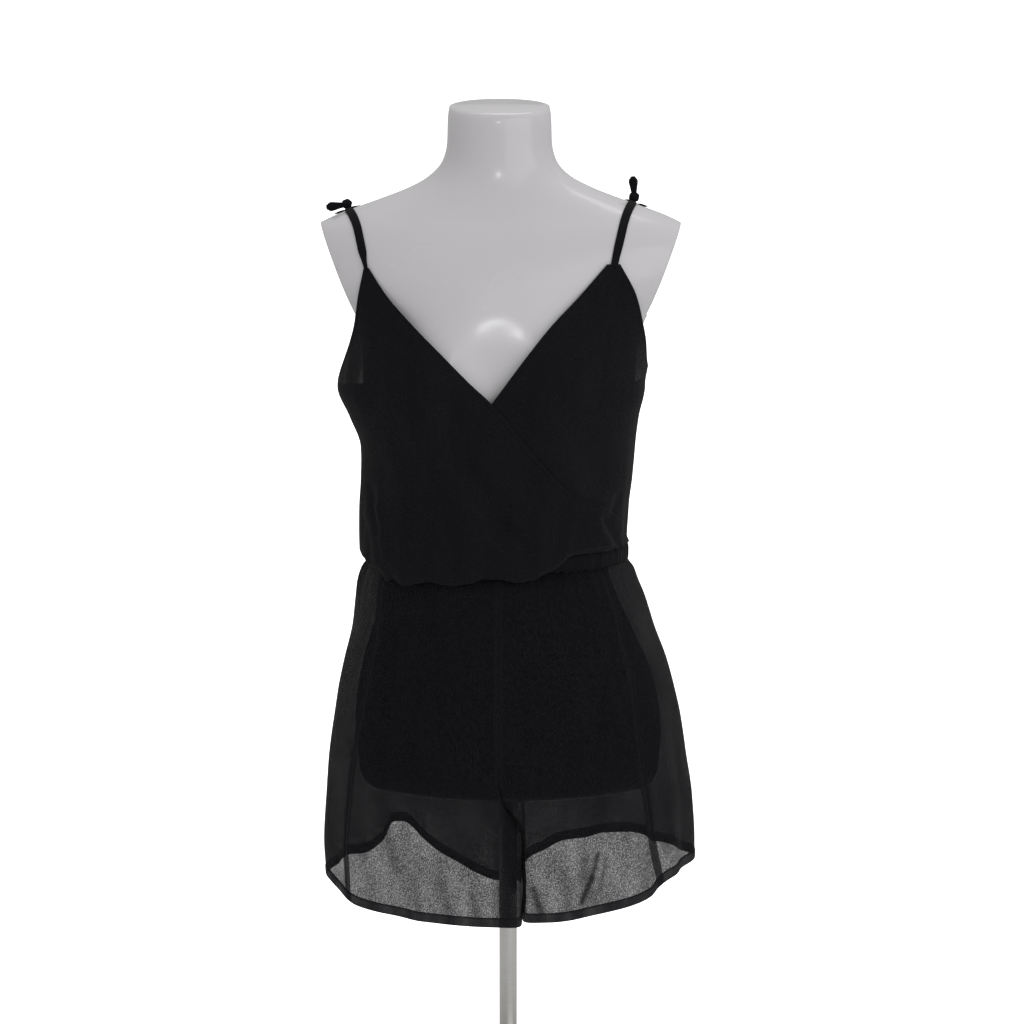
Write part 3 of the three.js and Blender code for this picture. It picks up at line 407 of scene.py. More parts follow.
def power(value, exponent):
    return math.copysign(abs(value) ** exponent, value)


def section_point(section, degrees, height, swell=0.0):
    """Point of a horizontal section of the body or of the cloth, moved outwards by swell."""
    across, along = math.sin(math.radians(degrees)), math.cos(math.radians(degrees))
    x = section.half * power(across, 2 / SECTION_POWER)
    y = -(section.front if along > 0 else section.back) * power(along, 2 / SECTION_POWER)
    if along > 0:
        chest = bell((x - BUST_HALF) / BUST_WIDTH) + bell((x + BUST_HALF) / BUST_WIDTH)
        y -= section.bust * along * chest
    return Vector((section.middle + x + swell * across, y - swell * along, height))


def angle_at(section, x, face):
    """Angle where a section reaches a place across, on its front or its back."""
    share = min(max((x - section.middle) / section.half, -1), 1)
    degrees = math.degrees(math.asin(power(share, SECTION_POWER / 2)))
    return degrees if face == FRONT else 180 - degrees


def round_noise(degrees, waves, height, seed):
    """Uneven waves round the body, which close on themselves."""
    radius = waves / math.pi
    turn = math.radians(degrees)
    return noise.noise(Vector((radius * math.cos(turn) + seed, radius * math.sin(turn), height)))


# Making pieces


def finish_piece(bm, name, finish, nodes=()):
    """The bmesh, in millimetres, becomes a piece that stands for its CAD nodes."""
    bmesh.ops.scale(bm, vec=(MM, MM, MM), verts=bm.verts)
    mesh = bpy.data.meshes.new(name)
    for face in bm.faces:
        face.smooth = True
    bm.to_mesh(mesh)
    bm.free()
    mesh.materials.append(finish)
    piece = bpy.data.objects.new(name, mesh)
    bpy.context.scene.collection.objects.link(piece)
    if nodes:
        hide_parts(*nodes)
    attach(piece, "root")
    return piece


def weave_places(points):
    """Place of each point in the flat cloth, along its row and up its column, and how far it is from a side."""
    last = len(points[0]) - 1
    places, edges = [], []
    for r, row in enumerate(points):
        along = [0.0]
        for before, after in zip(row, row[1:]):
            along.append(along[-1] + (after - before).length)
        edges.append([min(far, along[-1] - far) for far in along])
        if r == 0:
            places.append([(far, 0.0) for far in along])
            continue
        shift, ups = 0.0, []
        for c, (low, high) in enumerate(zip(points[r - 1], row)):
            sideways = (row[min(c + 1, last)] - row[max(c - 1, 0)]).normalized()
            drift = (high - low).dot(sideways)
            shift += (places[-1][c][0] + drift - along[c]) / (last + 1)
            ups.append(places[-1][c][1] + math.sqrt(max((high - low).length_squared - drift * drift, 0)))
        places.append([(far + shift, up) for far, up in zip(along, ups)])
    return places, edges


def grid(surface, columns, rows, crease=None):
    """Sheet of cloth whose points surface(u, v) gives. crease says how far the cloth is doubled at a point; across
    the seat it also carries painted shade.
    """
    points = [[surface(c / columns, r / rows) for c in range(columns + 1)] for r in range(rows + 1)]
    places, edges = weave_places(points)
    bm = bmesh.new()
    bmesh.ops.create_grid(bm, x_segments=columns, y_segments=rows, size=0.5, calc_uvs=True)
    weave = bm.loops.layers.uv.verify()
    edge = bm.verts.layers.float.new("edge_distance")
    doubled = bm.verts.layers.float.new("crease")
    for vertex in bm.verts:
        c, r = round((vertex.co.x + 0.5) * columns), round((vertex.co.y + 0.5) * rows)
        for loop in vertex.link_loops:
            loop[weave].uv = (places[r][c][0] * MM, places[r][c][1] * MM)
        vertex[edge] = edges[r][c]
        vertex[doubled] = crease(points[r][c]) if crease else 0.0
        vertex.co = points[r][c]
    return bm


def solid(piece, wall):
    """Gives a sheet its thickness, inwards from its outer face."""
    shell = piece.modifiers.new("Wall", "SOLIDIFY")
    shell.thickness = wall * MM
    shell.offset = -1
    return piece


def band(places, normals, widths, wall, closed=False, sides=12):
    """Flat tube of cloth with rounded edges, through places, lying flat against normals."""
    count = len(places)
    rings = count + 1 if closed else count
    directions = []
    for i in range(count):
        before = places[i - 1] if closed or i > 0 else places[i]
        after = places[(i + 1) % count] if closed or i < count - 1 else places[i]
        directions.append((after - before).normalized())
    lengths = [0.0]
    for i in range(1, rings):
        lengths.append(lengths[-1] + (places[i % count] - places[i - 1]).length)
    bm = bmesh.new()
    bmesh.ops.create_grid(bm, x_segments=sides, y_segments=rings - 1, size=0.5, calc_uvs=True)
    weave = bm.loops.layers.uv.verify()
    for vertex in bm.verts:
        turn = (vertex.co.x + 0.5) * 2 * math.pi
        ring = round((vertex.co.y + 0.5) * (rings - 1))
        for loop in vertex.link_loops:
            loop[weave].uv = (turn / math.pi * STRAP_WIDTH * MM, lengths[ring] * MM)
        i = ring % count
        across = directions[i].cross(normals[i]).normalized()
        lift = normals[i].normalized()
        vertex.co = (places[i] + across * power(math.cos(turn), 0.55) * widths[i] / 2
                     + lift * power(math.sin(turn), 0.8) * wall / 2)
    bmesh.ops.remove_doubles(bm, verts=bm.verts, dist=0.01)
    if not closed:
        bmesh.ops.holes_fill(bm, edges=[edge for edge in bm.edges if edge.is_boundary])
    bmesh.ops.recalc_face_normals(bm, faces=bm.faces)
    return bm


def stitch_rows(name, lines):
    """Sewn lines as one piece: a short raised stitch at each pitch along each line of places and normals."""
    bm = bmesh.new()
    for line in lines:
        walked = STITCH_PITCH / 2
        for (place, normal), (ahead, _) in zip(line, line[1:]):
            length = (ahead - place).length
            along = (ahead - place).normalized()
            out = (normal - along * normal.dot(along)).normalized()
            turn = Matrix((along, out.cross(along), out)).transposed().to_4x4()
            size = Matrix.Diagonal((STITCH_LENGTH, STITCH_WIDTH, STITCH_WIDTH, 1))
            while walked < length:
                spot = Matrix.Translation(place + along * walked + out * STITCH_LIFT)
                bmesh.ops.create_cube(bm, size=1, matrix=spot @ turn @ size, calc_uvs=False)
                walked += STITCH_PITCH
            walked -= length
    return finish_piece(bm, name, THREAD)


def sewn_line(surface, places, step=0.004):
    """Points with outward normals at (u, v) places of a surface."""
    line = []
    for u, v in places:
        back, low = max(u - step, 0), max(v - step, 0)
        across = surface(back + step, v) - surface(back, v)
        upwards = surface(u, low + step) - surface(u, low)
        line.append((surface(u, v), across.cross(upwards).normalized()))
    return line


def beside_edge(surface, edge, low, high, inset, count):
    """Places that follow a side edge of a surface, a fixed way in from it."""
    places = []
    for i in range(count + 1):
        v = mix(low, high, i / count)
        near = abs(edge - 0.05)
        reach = (surface(edge, v) - surface(near, v)).length
        places.append((mix(edge, near, min(inset / reach, 1)), v))
    return places


# Materials


def new_group(name, inputs, outputs):
    """Node group with named sockets, and its input and output nodes."""
    group = bpy.data.node_groups.new(name, "ShaderNodeTree")
    for label, kind in inputs:
        group.interface.new_socket(label, in_out="INPUT", socket_type=kind)
    for label, kind in outputs:
        group.interface.new_socket(label, in_out="OUTPUT", socket_type=kind)
    return group, group.nodes.new("NodeGroupInput"), group.nodes.new("NodeGroupOutput")


def math_node(tree, operation, first, second=None, clamp=False):
    node = tree.nodes.new("ShaderNodeMath")
    node.operation = operation
    node.use_clamp = clamp
    for socket, value in zip(node.inputs, (first, second)):
        if isinstance(value, bpy.types.NodeSocket):
            tree.links.new(value, socket)
        elif value is not None:
            socket.default_value = value
    return node.outputs[0]


def range_node(tree, value, low, high, to_low, to_high, smooth=False):
    node = tree.nodes.new("ShaderNodeMapRange")
    node.interpolation_type = "SMOOTHSTEP" if smooth else "LINEAR"
    tree.links.new(value, node.inputs["Value"])
    for label, number in (("From Min", low), ("From Max", high), ("To Min", to_low), ("To Max", to_high)):
        node.inputs[label].default_value = number
    return node.outputs["Result"]


def scaled(tree, vector, scale):
    node = tree.nodes.new("ShaderNodeMapping")
    node.inputs["Scale"].default_value = scale
    tree.links.new(vector, node.inputs["Vector"])
    return node.outputs["Vector"]


def noise_node(tree, vector, scale, detail=3.0, roughness=0.6):
    node = tree.nodes.new("ShaderNodeTexNoise")
    tree.links.new(vector, node.inputs["Vector"])
    node.inputs["Scale"].default_value = scale
    node.inputs["Detail"].default_value = detail
    node.inputs["Roughness"].default_value = roughness
    return node.outputs["Fac"]


def crepe_weave_group():
    """Crinkled crepe: pebbled yarns drawn out along the grain, with thin and thick places."""
    group, given, result = new_group(
        "crepe_weave", [("Cloth", "NodeSocketVector")],
        [("Height", "NodeSocketFloat"), ("Thickness", "NodeSocketFloat"), ("Cloud", "NodeSocketFloat")])
    cloth = given.outputs["Cloth"]
    pebbles = noise_node(group, scaled(group, cloth, (900, 560, 1)), 1.0, 1.0, 0.5)
    streaks = noise_node(group, scaled(group, cloth, (520, 150, 1)), 1.0, 2.0, 0.5)
    cloud = noise_node(group, scaled(group, cloth, (46, 14, 1)), 1.0, 3.0, 0.5)
    yarn = noise_node(group, scaled(group, cloth, (1900, 1500, 1)), 1.0, 1.0, 0.5)
    rough = math_node(group, "ADD", math_node(group, "MULTIPLY", pebbles, 0.72),
                      math_node(group, "MULTIPLY", streaks, 0.28))
    height = math_node(group, "ADD", rough, math_node(group, "MULTIPLY", yarn, 0.3))
    group.links.new(height, result.inputs["Height"])
    group.links.new(range_node(group, rough, 0.36, 0.62, 0.0, 1.0), result.inputs["Thickness"])
    group.links.new(cloud, result.inputs["Cloud"])
    return group


def principled(name, roughness, metallic=0.0, specular=0.5):
    finish = bpy.data.materials.new(name)
    finish.use_nodes = True
    shader = finish.node_tree.nodes["Principled BSDF"]
    shader.inputs["Roughness"].default_value = roughness
    shader.inputs["Metallic"].default_value = metallic
    shader.inputs["Specular IOR Level"].default_value = specular
    return finish, finish.node_tree, shader


def crepe(name, weave_group, cover=None, painted_brightening=1.0):
    """Black crepe. cover is what its thin and its thick places cover, and its seams and creases are doubled; across
    the seat the creases also carry painted shade.
    """
    finish, tree, shader = principled(name, 0.8, specular=0.06)
    shader.inputs["Sheen Weight"].default_value = 0.03
    shader.inputs["Sheen Roughness"].default_value = 0.5
    cloth = tree.nodes.new("ShaderNodeUVMap")
    weave = tree.nodes.new("ShaderNodeGroup")
    weave.node_tree = weave_group
    tree.links.new(cloth.outputs["UV"], weave.inputs["Cloth"])
    colour = tree.nodes.new("ShaderNodeMix")
    colour.data_type = "RGBA"
    # Colour scaled up by the last argument: painted light, making lit copies of one black crepe.
    colour.inputs["A"].default_value = (*[painted_brightening * value for value in CREPE_DARK], 1)
    colour.inputs["B"].default_value = (*[painted_brightening * value for value in CREPE_LIGHT], 1)
    spots = math_node(tree, "ADD", math_node(tree, "MULTIPLY", weave.outputs["Thickness"], 0.7),
                      math_node(tree, "MULTIPLY", weave.outputs["Cloud"], 0.4), clamp=True)
    tree.links.new(spots, colour.inputs["Factor"])
    tree.links.new(colour.outputs["Result"], shader.inputs["Base Color"])
    bump = tree.nodes.new("ShaderNodeBump")
    bump.inputs["Strength"].default_value = 0.4
    bump.inputs["Distance"].default_value = 0.0003
    tree.links.new(weave.outputs["Height"], bump.inputs["Height"])
    tree.links.new(bump.outputs["Normal"], shader.inputs["Normal"])
    if cover:
        yarns = range_node(tree, weave.outputs["Thickness"], 0.0, 1.0, *cover)
        clouded = math_node(tree, "ADD", yarns, range_node(tree, weave.outputs["Cloud"], 0.3, 0.7, *CLOUDED))
        distance = tree.nodes.new("ShaderNodeAttribute")
        distance.attribute_name = "edge_distance"
        seam = range_node(tree, distance.outputs["Fac"], SEAM_ALLOWANCE, SEAM_ALLOWANCE + 0.8, 0.0, 1.0)
        crease = tree.nodes.new("ShaderNodeAttribute")
        crease.attribute_name = "crease"
        single = math_node(tree, "MULTIPLY", seam, math_node(tree, "SUBTRACT", 1.0, crease.outputs["Fac"]))
        second_layer = range_node(tree, single, 0.0, 1.0, 1 - SECOND_LAYER, 1.0)
        seen = tree.nodes.new("ShaderNodeLightPath").outputs["Is Camera Ray"]
        let_in = range_node(tree, seen, 0.0, 1.0, SHADE_SHARE, 1.0)
        holes = math_node(tree, "MULTIPLY", math_node(tree, "SUBTRACT", 1.0, clouded, clamp=True), second_layer)
        open_share = math_node(tree, "MULTIPLY", holes, let_in)
        tree.links.new(math_node(tree, "SUBTRACT", 1.0, open_share), shader.inputs["Alpha"])
    return finish


def thread():
    finish, _, shader = principled("thread", 0.7, specular=0.1)
    shader.inputs["Base Color"].default_value = (0.007, 0.0065, 0.008, 1)
    return finish


def lacquer():
    """Glossy white lacquer over a moulded shell, with faint mould lines over the shoulders and a few scuffs."""
    finish, tree, shader = principled("form_lacquer", 0.24, specular=0.5)
    shader.inputs["Coat Weight"].default_value = 0.3
    shader.inputs["Coat Roughness"].default_value = 0.12
    place = tree.nodes.new("ShaderNodeTexCoord").outputs["Object"]
    axes = tree.nodes.new("ShaderNodeSeparateXYZ")
    tree.links.new(place, axes.inputs["Vector"])
    patches = noise_node(tree, place, 7.0, 3.0, 0.55)
    pores = noise_node(tree, place, 900.0, 2.0, 0.6)
    wander = noise_node(tree, place, 22.0, 2.0, 0.5)
    shifted = math_node(tree, "ADD", axes.outputs["Y"], math_node(tree, "MULTIPLY", wander, 0.006))
    away = math_node(tree, "ABSOLUTE", math_node(tree, "SUBTRACT", shifted, 0.001))
    line = range_node(tree, away, 0.0003, 0.0009, 1.0, 0.0)
    high = range_node(tree, axes.outputs["Z"], 0.975, 0.99, 0.0, 1.0)
    low_neck = range_node(tree, axes.outputs["Z"], 1.02, 1.03, 1.0, 0.0)
    broken = range_node(tree, noise_node(tree, place, 46.0, 2.0, 0.6), 0.45, 0.6, 0.0, 1.0)
    mould = math_node(tree, "MULTIPLY", math_node(tree, "MULTIPLY", line, high),
                      math_node(tree, "MULTIPLY", low_neck, broken))
    scuffs = range_node(tree, noise_node(tree, place, 130.0, 4.0, 0.7), 0.71, 0.76, 0.0, 0.5)
    marks = math_node(tree, "MAXIMUM", mould, math_node(tree, "MULTIPLY", scuffs, high))
    base = tree.nodes.new("ShaderNodeMix")
    base.data_type = "RGBA"
    base.inputs["A"].default_value = (0.66, 0.64, 0.66, 1)
    base.inputs["B"].default_value = (0.72, 0.705, 0.72, 1)
    tree.links.new(patches, base.inputs["Factor"])
    marked = tree.nodes.new("ShaderNodeMix")
    marked.data_type = "RGBA"
    marked.inputs["B"].default_value = (0.2, 0.19, 0.19, 1)
    tree.links.new(base.outputs["Result"], marked.inputs["A"])
    tree.links.new(math_node(tree, "MULTIPLY", marks, 0.6), marked.inputs["Factor"])
    tree.links.new(marked.outputs["Result"], shader.inputs["Base Color"])
    tree.links.new(range_node(tree, patches, 0.3, 0.7, 0.2, 0.3), shader.inputs["Roughness"])
    bump = tree.nodes.new("ShaderNodeBump")
    bump.inputs["Strength"].default_value = 0.25
    bump.inputs["Distance"].default_value = 0.0003
    relief = math_node(tree, "SUBTRACT", math_node(tree, "MULTIPLY", pores, 0.15), mould)
    tree.links.new(relief, bump.inputs["Height"])
    tree.links.new(bump.outputs["Normal"], shader.inputs["Normal"])
    return finish


def brushed_steel():
    """Satin steel with fine turning marks, and smudges in its roughness."""
    finish, tree, shader = principled("brushed_steel", 0.34, metallic=1.0)
    place = tree.nodes.new("ShaderNodeTexCoord").outputs["Object"]
    grain = noise_node(tree, scaled(tree, place, (60, 60, 1500)), 1.0, 3.0, 0.6)
    smudge = noise_node(tree, place, 18.0, 3.0, 0.5)
    colour = tree.nodes.new("ShaderNodeMix")
    colour.data_type = "RGBA"
    colour.inputs["A"].default_value = (0.6, 0.59, 0.57, 1)
    colour.inputs["B"].default_value = (0.76, 0.75, 0.73, 1)
    tree.links.new(grain, colour.inputs["Factor"])
    tree.links.new(colour.outputs["Result"], shader.inputs["Base Color"])
    tree.links.new(range_node(tree, smudge, 0.3, 0.7, 0.26, 0.42), shader.inputs["Roughness"])
    bump = tree.nodes.new("ShaderNodeBump")
    bump.inputs["Strength"].default_value = 0.15
    bump.inputs["Distance"].default_value = 0.0002
    tree.links.new(grain, bump.inputs["Height"])
    tree.links.new(bump.outputs["Normal"], shader.inputs["Normal"])
    return finish


WEAVE = crepe_weave_group()
CREPE_DARK = (0.0049, 0.0044, 0.0057)
CREPE_LIGHT = (0.0067, 0.0060, 0.0074)
CLOUDED = (-0.05, 0.05)
# The last number of each crepe scales its colour up: painted light. On the sheer cloth it stands in for the lit form
# that shows through.
SHEER_CREPE = crepe("sheer_crepe", WEAVE, (0.60, 0.86), 1.6)
LINED_CREPE = crepe("lined_crepe", WEAVE, (0.92, 0.98), 1.5)
DOUBLE_CREPE = crepe("double_crepe", WEAVE, painted_brightening=1.3)
HEM_CREPE = crepe("hem_crepe", WEAVE, (0.89, 0.93), 2)
THREAD = thread()
LACQUER = lacquer()
STEEL = brushed_steel()


# Dress form and stand


def form_heights():
    """Heights of the form's rings, about evenly spaced along its side."""
    heights = [FORM_SECTIONS.rows[0][0]]
    walked, height = 0.0, heights[0]
    step = 0.25
    while height < FORM_SECTIONS.rows[-1][0] - step:
        low, high = FORM_SECTIONS.at(height), FORM_SECTIONS.at(height + step)
        walked += math.hypot(step, high.half - low.half, high.front - low.front)
        height += step
        if walked >= FORM_RING_GAP:
            heights.append(height)
            walked = 0.0
    heights.append(FORM_SECTIONS.rows[-1][0])
    return heights


def close_up(bm, rim):
    """Fills a closed rim of edges with one face."""
    return bmesh.ops.contextual_create(bm, geom=list(rim))["faces"][0]


def cut_arm(bm, side):
    """Flat cut where the arm would start, which ends at the underarm, with a rounded rim."""
    tilt = math.atan(ARM_CUT_SLOPE)
    outwards = Vector((side * math.cos(tilt), 0, -math.sin(tilt)))
    place = Vector((ARM_CUT_MIDDLE + side * ARM_CUT_HALF, 0, ARM_CUT_HEIGHT))
    upwards = Vector((side * UNDERARM_SLOPE, 0, 1)).normalized()
    drop = ARM_CUT_HEIGHT - UNDERARM_HEIGHT
    underarm = place - Vector((side * ARM_CUT_SLOPE * drop, 0, drop))

    def near(test):
        faces = [face for face in bm.faces if test(face.calc_center_median())]
        edges = {edge for face in faces for edge in face.edges}
        return faces + list(edges) + list({vertex for edge in edges for vertex in edge.verts})

    beside = near(lambda centre: (centre - place).dot(outwards) > -30 and abs(centre.z - UNDERARM_HEIGHT) < 60)
    bmesh.ops.bisect_plane(bm, geom=beside, plane_co=underarm, plane_no=upwards)
    above = near(lambda centre: (centre - place).dot(outwards) > -30 and (centre - underarm).dot(upwards) > 0)
    bmesh.ops.bisect_plane(bm, geom=above, plane_co=place, plane_no=outwards, clear_outer=True)
    flat = {edge for edge in bm.edges if edge.is_boundary
            and all(abs((vertex.co - place).dot(outwards)) < 0.02 for vertex in edge.verts)}
    ledge = {edge for edge in bm.edges if edge.is_boundary} - flat
    uses = {}
    for edge in flat:
        for vertex in edge.verts:
            uses[vertex] = uses.get(vertex, 0) + 1
    corners = [vertex for vertex, count in uses.items() if count == 1]
    bridge = bm.edges.new(corners)
    arm_face = close_up(bm, flat | {bridge})
    close_up(bm, ledge | {bridge})
    bmesh.ops.bevel(bm, geom=list(arm_face.edges), offset=ARM_RIM, offset_type="OFFSET", segments=3,
                    profile=0.5, affect="EDGES", clamp_overlap=True, material=-1)


def dress_form():
    heights = form_heights()
    rows = len(heights) - 1
    bm = bmesh.new()
    bmesh.ops.create_grid(bm, x_segments=FORM_COLUMNS, y_segments=rows, size=0.5)
    for vertex in bm.verts:
        height = heights[round((vertex.co.y + 0.5) * rows)]
        section = FORM_SECTIONS.at(height)
        point = section_point(section, (vertex.co.x + 0.5) * 360, height)
        point.z += section.lean * point.y
        vertex.co = point
    bmesh.ops.remove_doubles(bm, verts=bm.verts, dist=0.01)
    inner = [vertex for vertex in bm.verts if not vertex.is_boundary and vertex.co.z < FORM_SECTIONS.rows[-3][0]]
    for _ in range(FORM_SMOOTHING):
        bmesh.ops.smooth_vert(bm, verts=inner, factor=0.5, use_axis_x=True, use_axis_y=True, use_axis_z=True)
    ends = bmesh.ops.holes_fill(bm, edges=[edge for edge in bm.edges if edge.is_boundary])["faces"]
    lid = max(ends, key=lambda face: face.calc_center_median().z)
    bmesh.ops.inset_region(bm, faces=[lid], thickness=CAP_LIP, depth=-0.3)
    bmesh.ops.inset_region(bm, faces=[lid], thickness=CAP_LIP / 4, depth=0.3)
    for side in SIDES.values():
        cut_arm(bm, side)
    bmesh.ops.recalc_face_normals(bm, faces=bm.faces)
    return finish_piece(bm, "dress_form", LACQUER, ["form_torso"])


def turned(name, profile, node):
    """Round piece turned from its profile of radius and height."""
    bm = bmesh.new()
    points = [bm.verts.new((radius, 0, height)) for radius, height in profile]
    edges = [bm.edges.new(pair) for pair in zip(points, points[1:])]
    bmesh.ops.spin(bm, geom=points + edges, axis=(0, 0, 1), cent=(0, 0, 0), dvec=(0, 0, 0), angle=2 * math.pi,
                   steps=TURN_STEPS, use_merge=True)
    bmesh.ops.remove_doubles(bm, verts=bm.verts, dist=0.01)
    sharp = [edge for edge in bm.edges if edge.is_manifold and edge.calc_face_angle() > 0.8]
    bmesh.ops.bevel(bm, geom=sharp, offset=0.8, offset_type="OFFSET", segments=3, profile=0.5, affect="EDGES",
                    material=-1)
    bmesh.ops.recalc_face_normals(bm, faces=bm.faces)
    return finish_piece(bm, name, STEEL, [node])


def stand():
    low = FORM_SECTIONS.rows[0][0]
    turned("stand_base", [(0, 0), (BASE_RADIUS, 0), (BASE_RADIUS, BASE_HEIGHT), (0, BASE_HEIGHT)], "base_plate")
    turned("stand_pole", [(0, BASE_HEIGHT), (POLE_RADIUS, BASE_HEIGHT), (POLE_RADIUS, POLE_TOP), (0, POLE_TOP)],
           "pole")
    turned("stand_collar", [(POLE_RADIUS, BASE_HEIGHT), (COLLAR_RADIUS + 3, BASE_HEIGHT),
                            (COLLAR_RADIUS + 3, BASE_HEIGHT + 4), (COLLAR_RADIUS, BASE_HEIGHT + 6),
                            (COLLAR_RADIUS, COLLAR_HEIGHT), (POLE_RADIUS, COLLAR_HEIGHT),
                            (POLE_RADIUS, BASE_HEIGHT)], "base_collar")
    turned("form_plate", [(POLE_RADIUS, low - FLANGE_HEIGHT), (FLANGE_RADIUS, low - FLANGE_HEIGHT),
                          (FLANGE_RADIUS, low - SEAM_GAP), (POLE_RADIUS, low - SEAM_GAP),
                          (POLE_RADIUS, low - FLANGE_HEIGHT)], "form_flange")


# Bodice


def fold_swell(folds, x, z):
    swell = 0.0
    for x1, z1, x2, z2, width, depth in folds:
        dx, dz = x2 - x1, z2 - z1
        t = min(max(((x - x1) * dx + (z - z1) * dz) / (dx * dx + dz * dz), 0), 1)
        away = math.hypot(x - x1 - t * dx, z - z1 - t * dz)
        if away < 3 * width:
            swell += depth * bell(away / width)
    return swell


def bodice_point(degrees, level):
    """Outer face of the bodice. Below BLOUSE_START the cloth turns under, to the waist casing."""
    turn = max(0, (BLOUSE_START - level) / (BLOUSE_START - BLOUSE_END))
    hang = BLOUSE_HANG.at(degrees).hang
    hang += min(hang, BLOUSE_PUCKER) * round_noise(degrees, 26, 0, 17)
    start = WAIST_TOP + SEAM_GAP - hang + BLOUSE_DROP
    nominal = max(level, BLOUSE_START)
    settle = (BLOUSE_SETTLE - start) / (BLOUSE_SETTLE - BLOUSE_START)
    height = BLOUSE_SETTLE - (BLOUSE_SETTLE - nominal) * settle if nominal < BLOUSE_SETTLE else nominal
    section = BODICE_SECTIONS.at(height)
    along = math.cos(math.radians(degrees))
    plain = section_point(section, degrees, height)
    swell = ease(abs(along), 0, 0.3) * fold_swell(BODICE_FOLDS if along > 0 else BACK_FOLDS, plain.x, height)
    low = 1 - ease(height, 620, 760)
    swell += RIPPLE_DEPTH * (0.5 + low) * round_noise(degrees, 9, height / 130, 3)
    swell += 1.6 * low * round_noise(degrees, 24, height / 90, 11)
    outer = section_point(section, degrees, height, swell)
    if turn == 0:
        return outer
    gathered = GATHER_DEPTH * turn * round_noise(degrees, GATHERS, 0, 5)
    seam = section_point(WAIST_SECTION, degrees, WAIST_TOP + 2 * SEAM_GAP, WAIST_CLEAR + gathered)
    path = outer.lerp(seam, turn)
    path.z -= 4 * BLOUSE_DIP * hang * turn * (1 - turn)
    return path


def bodice_level(v, top, turn_share=0.2):
    if v < turn_share:
        return mix(BLOUSE_END, BLOUSE_START, v / turn_share)
    return mix(BLOUSE_START, top, (v - turn_share) / (1 - turn_share))


def trim(radius):
    return math.degrees(SEAM_GAP / 2 / radius)


def front_angles(side, level):
    """Angles of a front's armhole or side seam, and of its crossing edge."""
    section = BODICE_SECTIONS.at(max(level, BLOUSE_START))
    armhole, crossing, underarm = (
        (RIGHT_ARMHOLE, RIGHT_CROSSING, RIGHT_UNDERARM) if side < 0
        else (LEFT_ARMHOLE, LEFT_CROSSING, LEFT_UNDERARM))
    outer = angle_at(section, armhole.at(level).x, FRONT) if level > underarm else side * 90
    return outer - side * trim(section.half), angle_at(section, crossing.at(level).x, FRONT)


def under_sink(degrees, level):
    covered = 1 - ease(degrees, LAYER_FADE_SIDE, 90)
    return UNDER_SINK * covered * (1 - ease(level, LAYER_FADE_LOW, LAYER_FADE_HIGH))


def front_panel(side):
    peak = RIGHT_PEAK if side < 0 else LEFT_PEAK
    columns, rows = 96, 140

    def surface(u, v):
        level = bodice_level(v, peak)
        outer, crossing = front_angles(side, level)
        degrees = mix(outer, crossing, u) if side < 0 else mix(crossing, outer, u)
        point = bodice_point(degrees, level)
        if side > 0:
            inwards = Vector((math.sin(math.radians(degrees)), -math.cos(math.radians(degrees)), 0))
            point -= inwards * under_sink(degrees, level)
        return point

    bm = grid(surface, columns, rows)
    label = "right" if side < 0 else "left"
    piece = finish_piece(bm, f"wrap_front_{label}", LINED_CREPE, [f"bodice_front_{label}"])
    neck, armhole = (1, 0) if side < 0 else (0, 1)
    low = 0.28 if side < 0 else 0.62
    lines = [sewn_line(surface, beside_edge(surface, neck, low, 0.985, EDGE_STITCH, 130)),
             sewn_line(surface, beside_edge(surface, armhole, 0.7, 0.975, EDGE_STITCH, 60))]
    stitch_rows(f"neck_stitches_{label}", lines)
    return solid(piece, CREPE_WALL)


def back_top(degrees):
    rise = (LEFT_UNDERARM - BACK_TOP_SIDE) * (1 - ease(degrees, 90, 90 + BACK_RISE_REACH))
    return mix(BACK_TOP_SIDE, BACK_TOP_MIDDLE, math.sin(math.radians(degrees - 90))) + rise


def back_panel():
    def surface(u, v):
        degrees = mix(90, 270, u)
        level = bodice_level(v, back_top(degrees), 0.26)
        section = BODICE_SECTIONS.at(max(level, BLOUSE_START))
        return bodice_point(degrees + trim(section.half) * (1 - 2 * u), level)

    bm = grid(surface, 170, 90)
    piece = finish_piece(bm, "bodice_back_panel", LINED_CREPE, ["bodice_back"])
    stitch_rows("back_stitches", [sewn_line(surface, [(i / 150, 0.975) for i in range(151)])])
    return solid(piece, CREPE_WALL)


def waist_casing():
    """Elastic in a casing, gathered all round."""
    def surface(u, v):
        degrees = mix(-180, 180, u)
        height = mix(WAIST_BOTTOM, WAIST_TOP, v)
        pinch = -1.2 * (2 * v - 1) ** 4
        swell = pinch + GATHER_DEPTH * 0.8 * round_noise(degrees, GATHERS, height / 60, 5)
        return section_point(WAIST_SECTION, degrees, height, swell)

    bm = grid(surface, 600, 14)
    bmesh.ops.remove_doubles(bm, verts=bm.verts, dist=0.01)
    piece = finish_piece(bm, "waist_casing_cloth", DOUBLE_CREPE, ["waist_casing"])
    rows = [[(i / 600, v) for i in range(601)] for v in (0.16, 0.84)]
    stitch_rows("casing_stitches", [sewn_line(surface, row) for row in rows])
    return solid(piece, 2)


# Shorts


def shorts_ring(degrees, height):
    near = 1 - ease(SHORTS_TOP - height, 0, GATHER_LENGTH)
    swell = GATHER_DEPTH * near * round_noise(degrees, GATHERS, height / 160, 5)
    swell += RIPPLE_DEPTH * round_noise(degrees, 10, height / 150, 7)
    folded = ((degrees + 450) % 360) - 90
    for angle, width, depth, start in SHORTS_FOLDS:
        grown = 1 - ease(height, HEM_LEVEL, start)
        swell += depth * grown * bell((folded - angle) / width)
    section = SHORTS_SECTIONS.at(height)
    tuck = 1 - ease(SHORTS_TOP - height, 0, SHORTS_TUCK)
    return section_point(section, degrees, height, swell - TUCK_DEPTH * tuck)


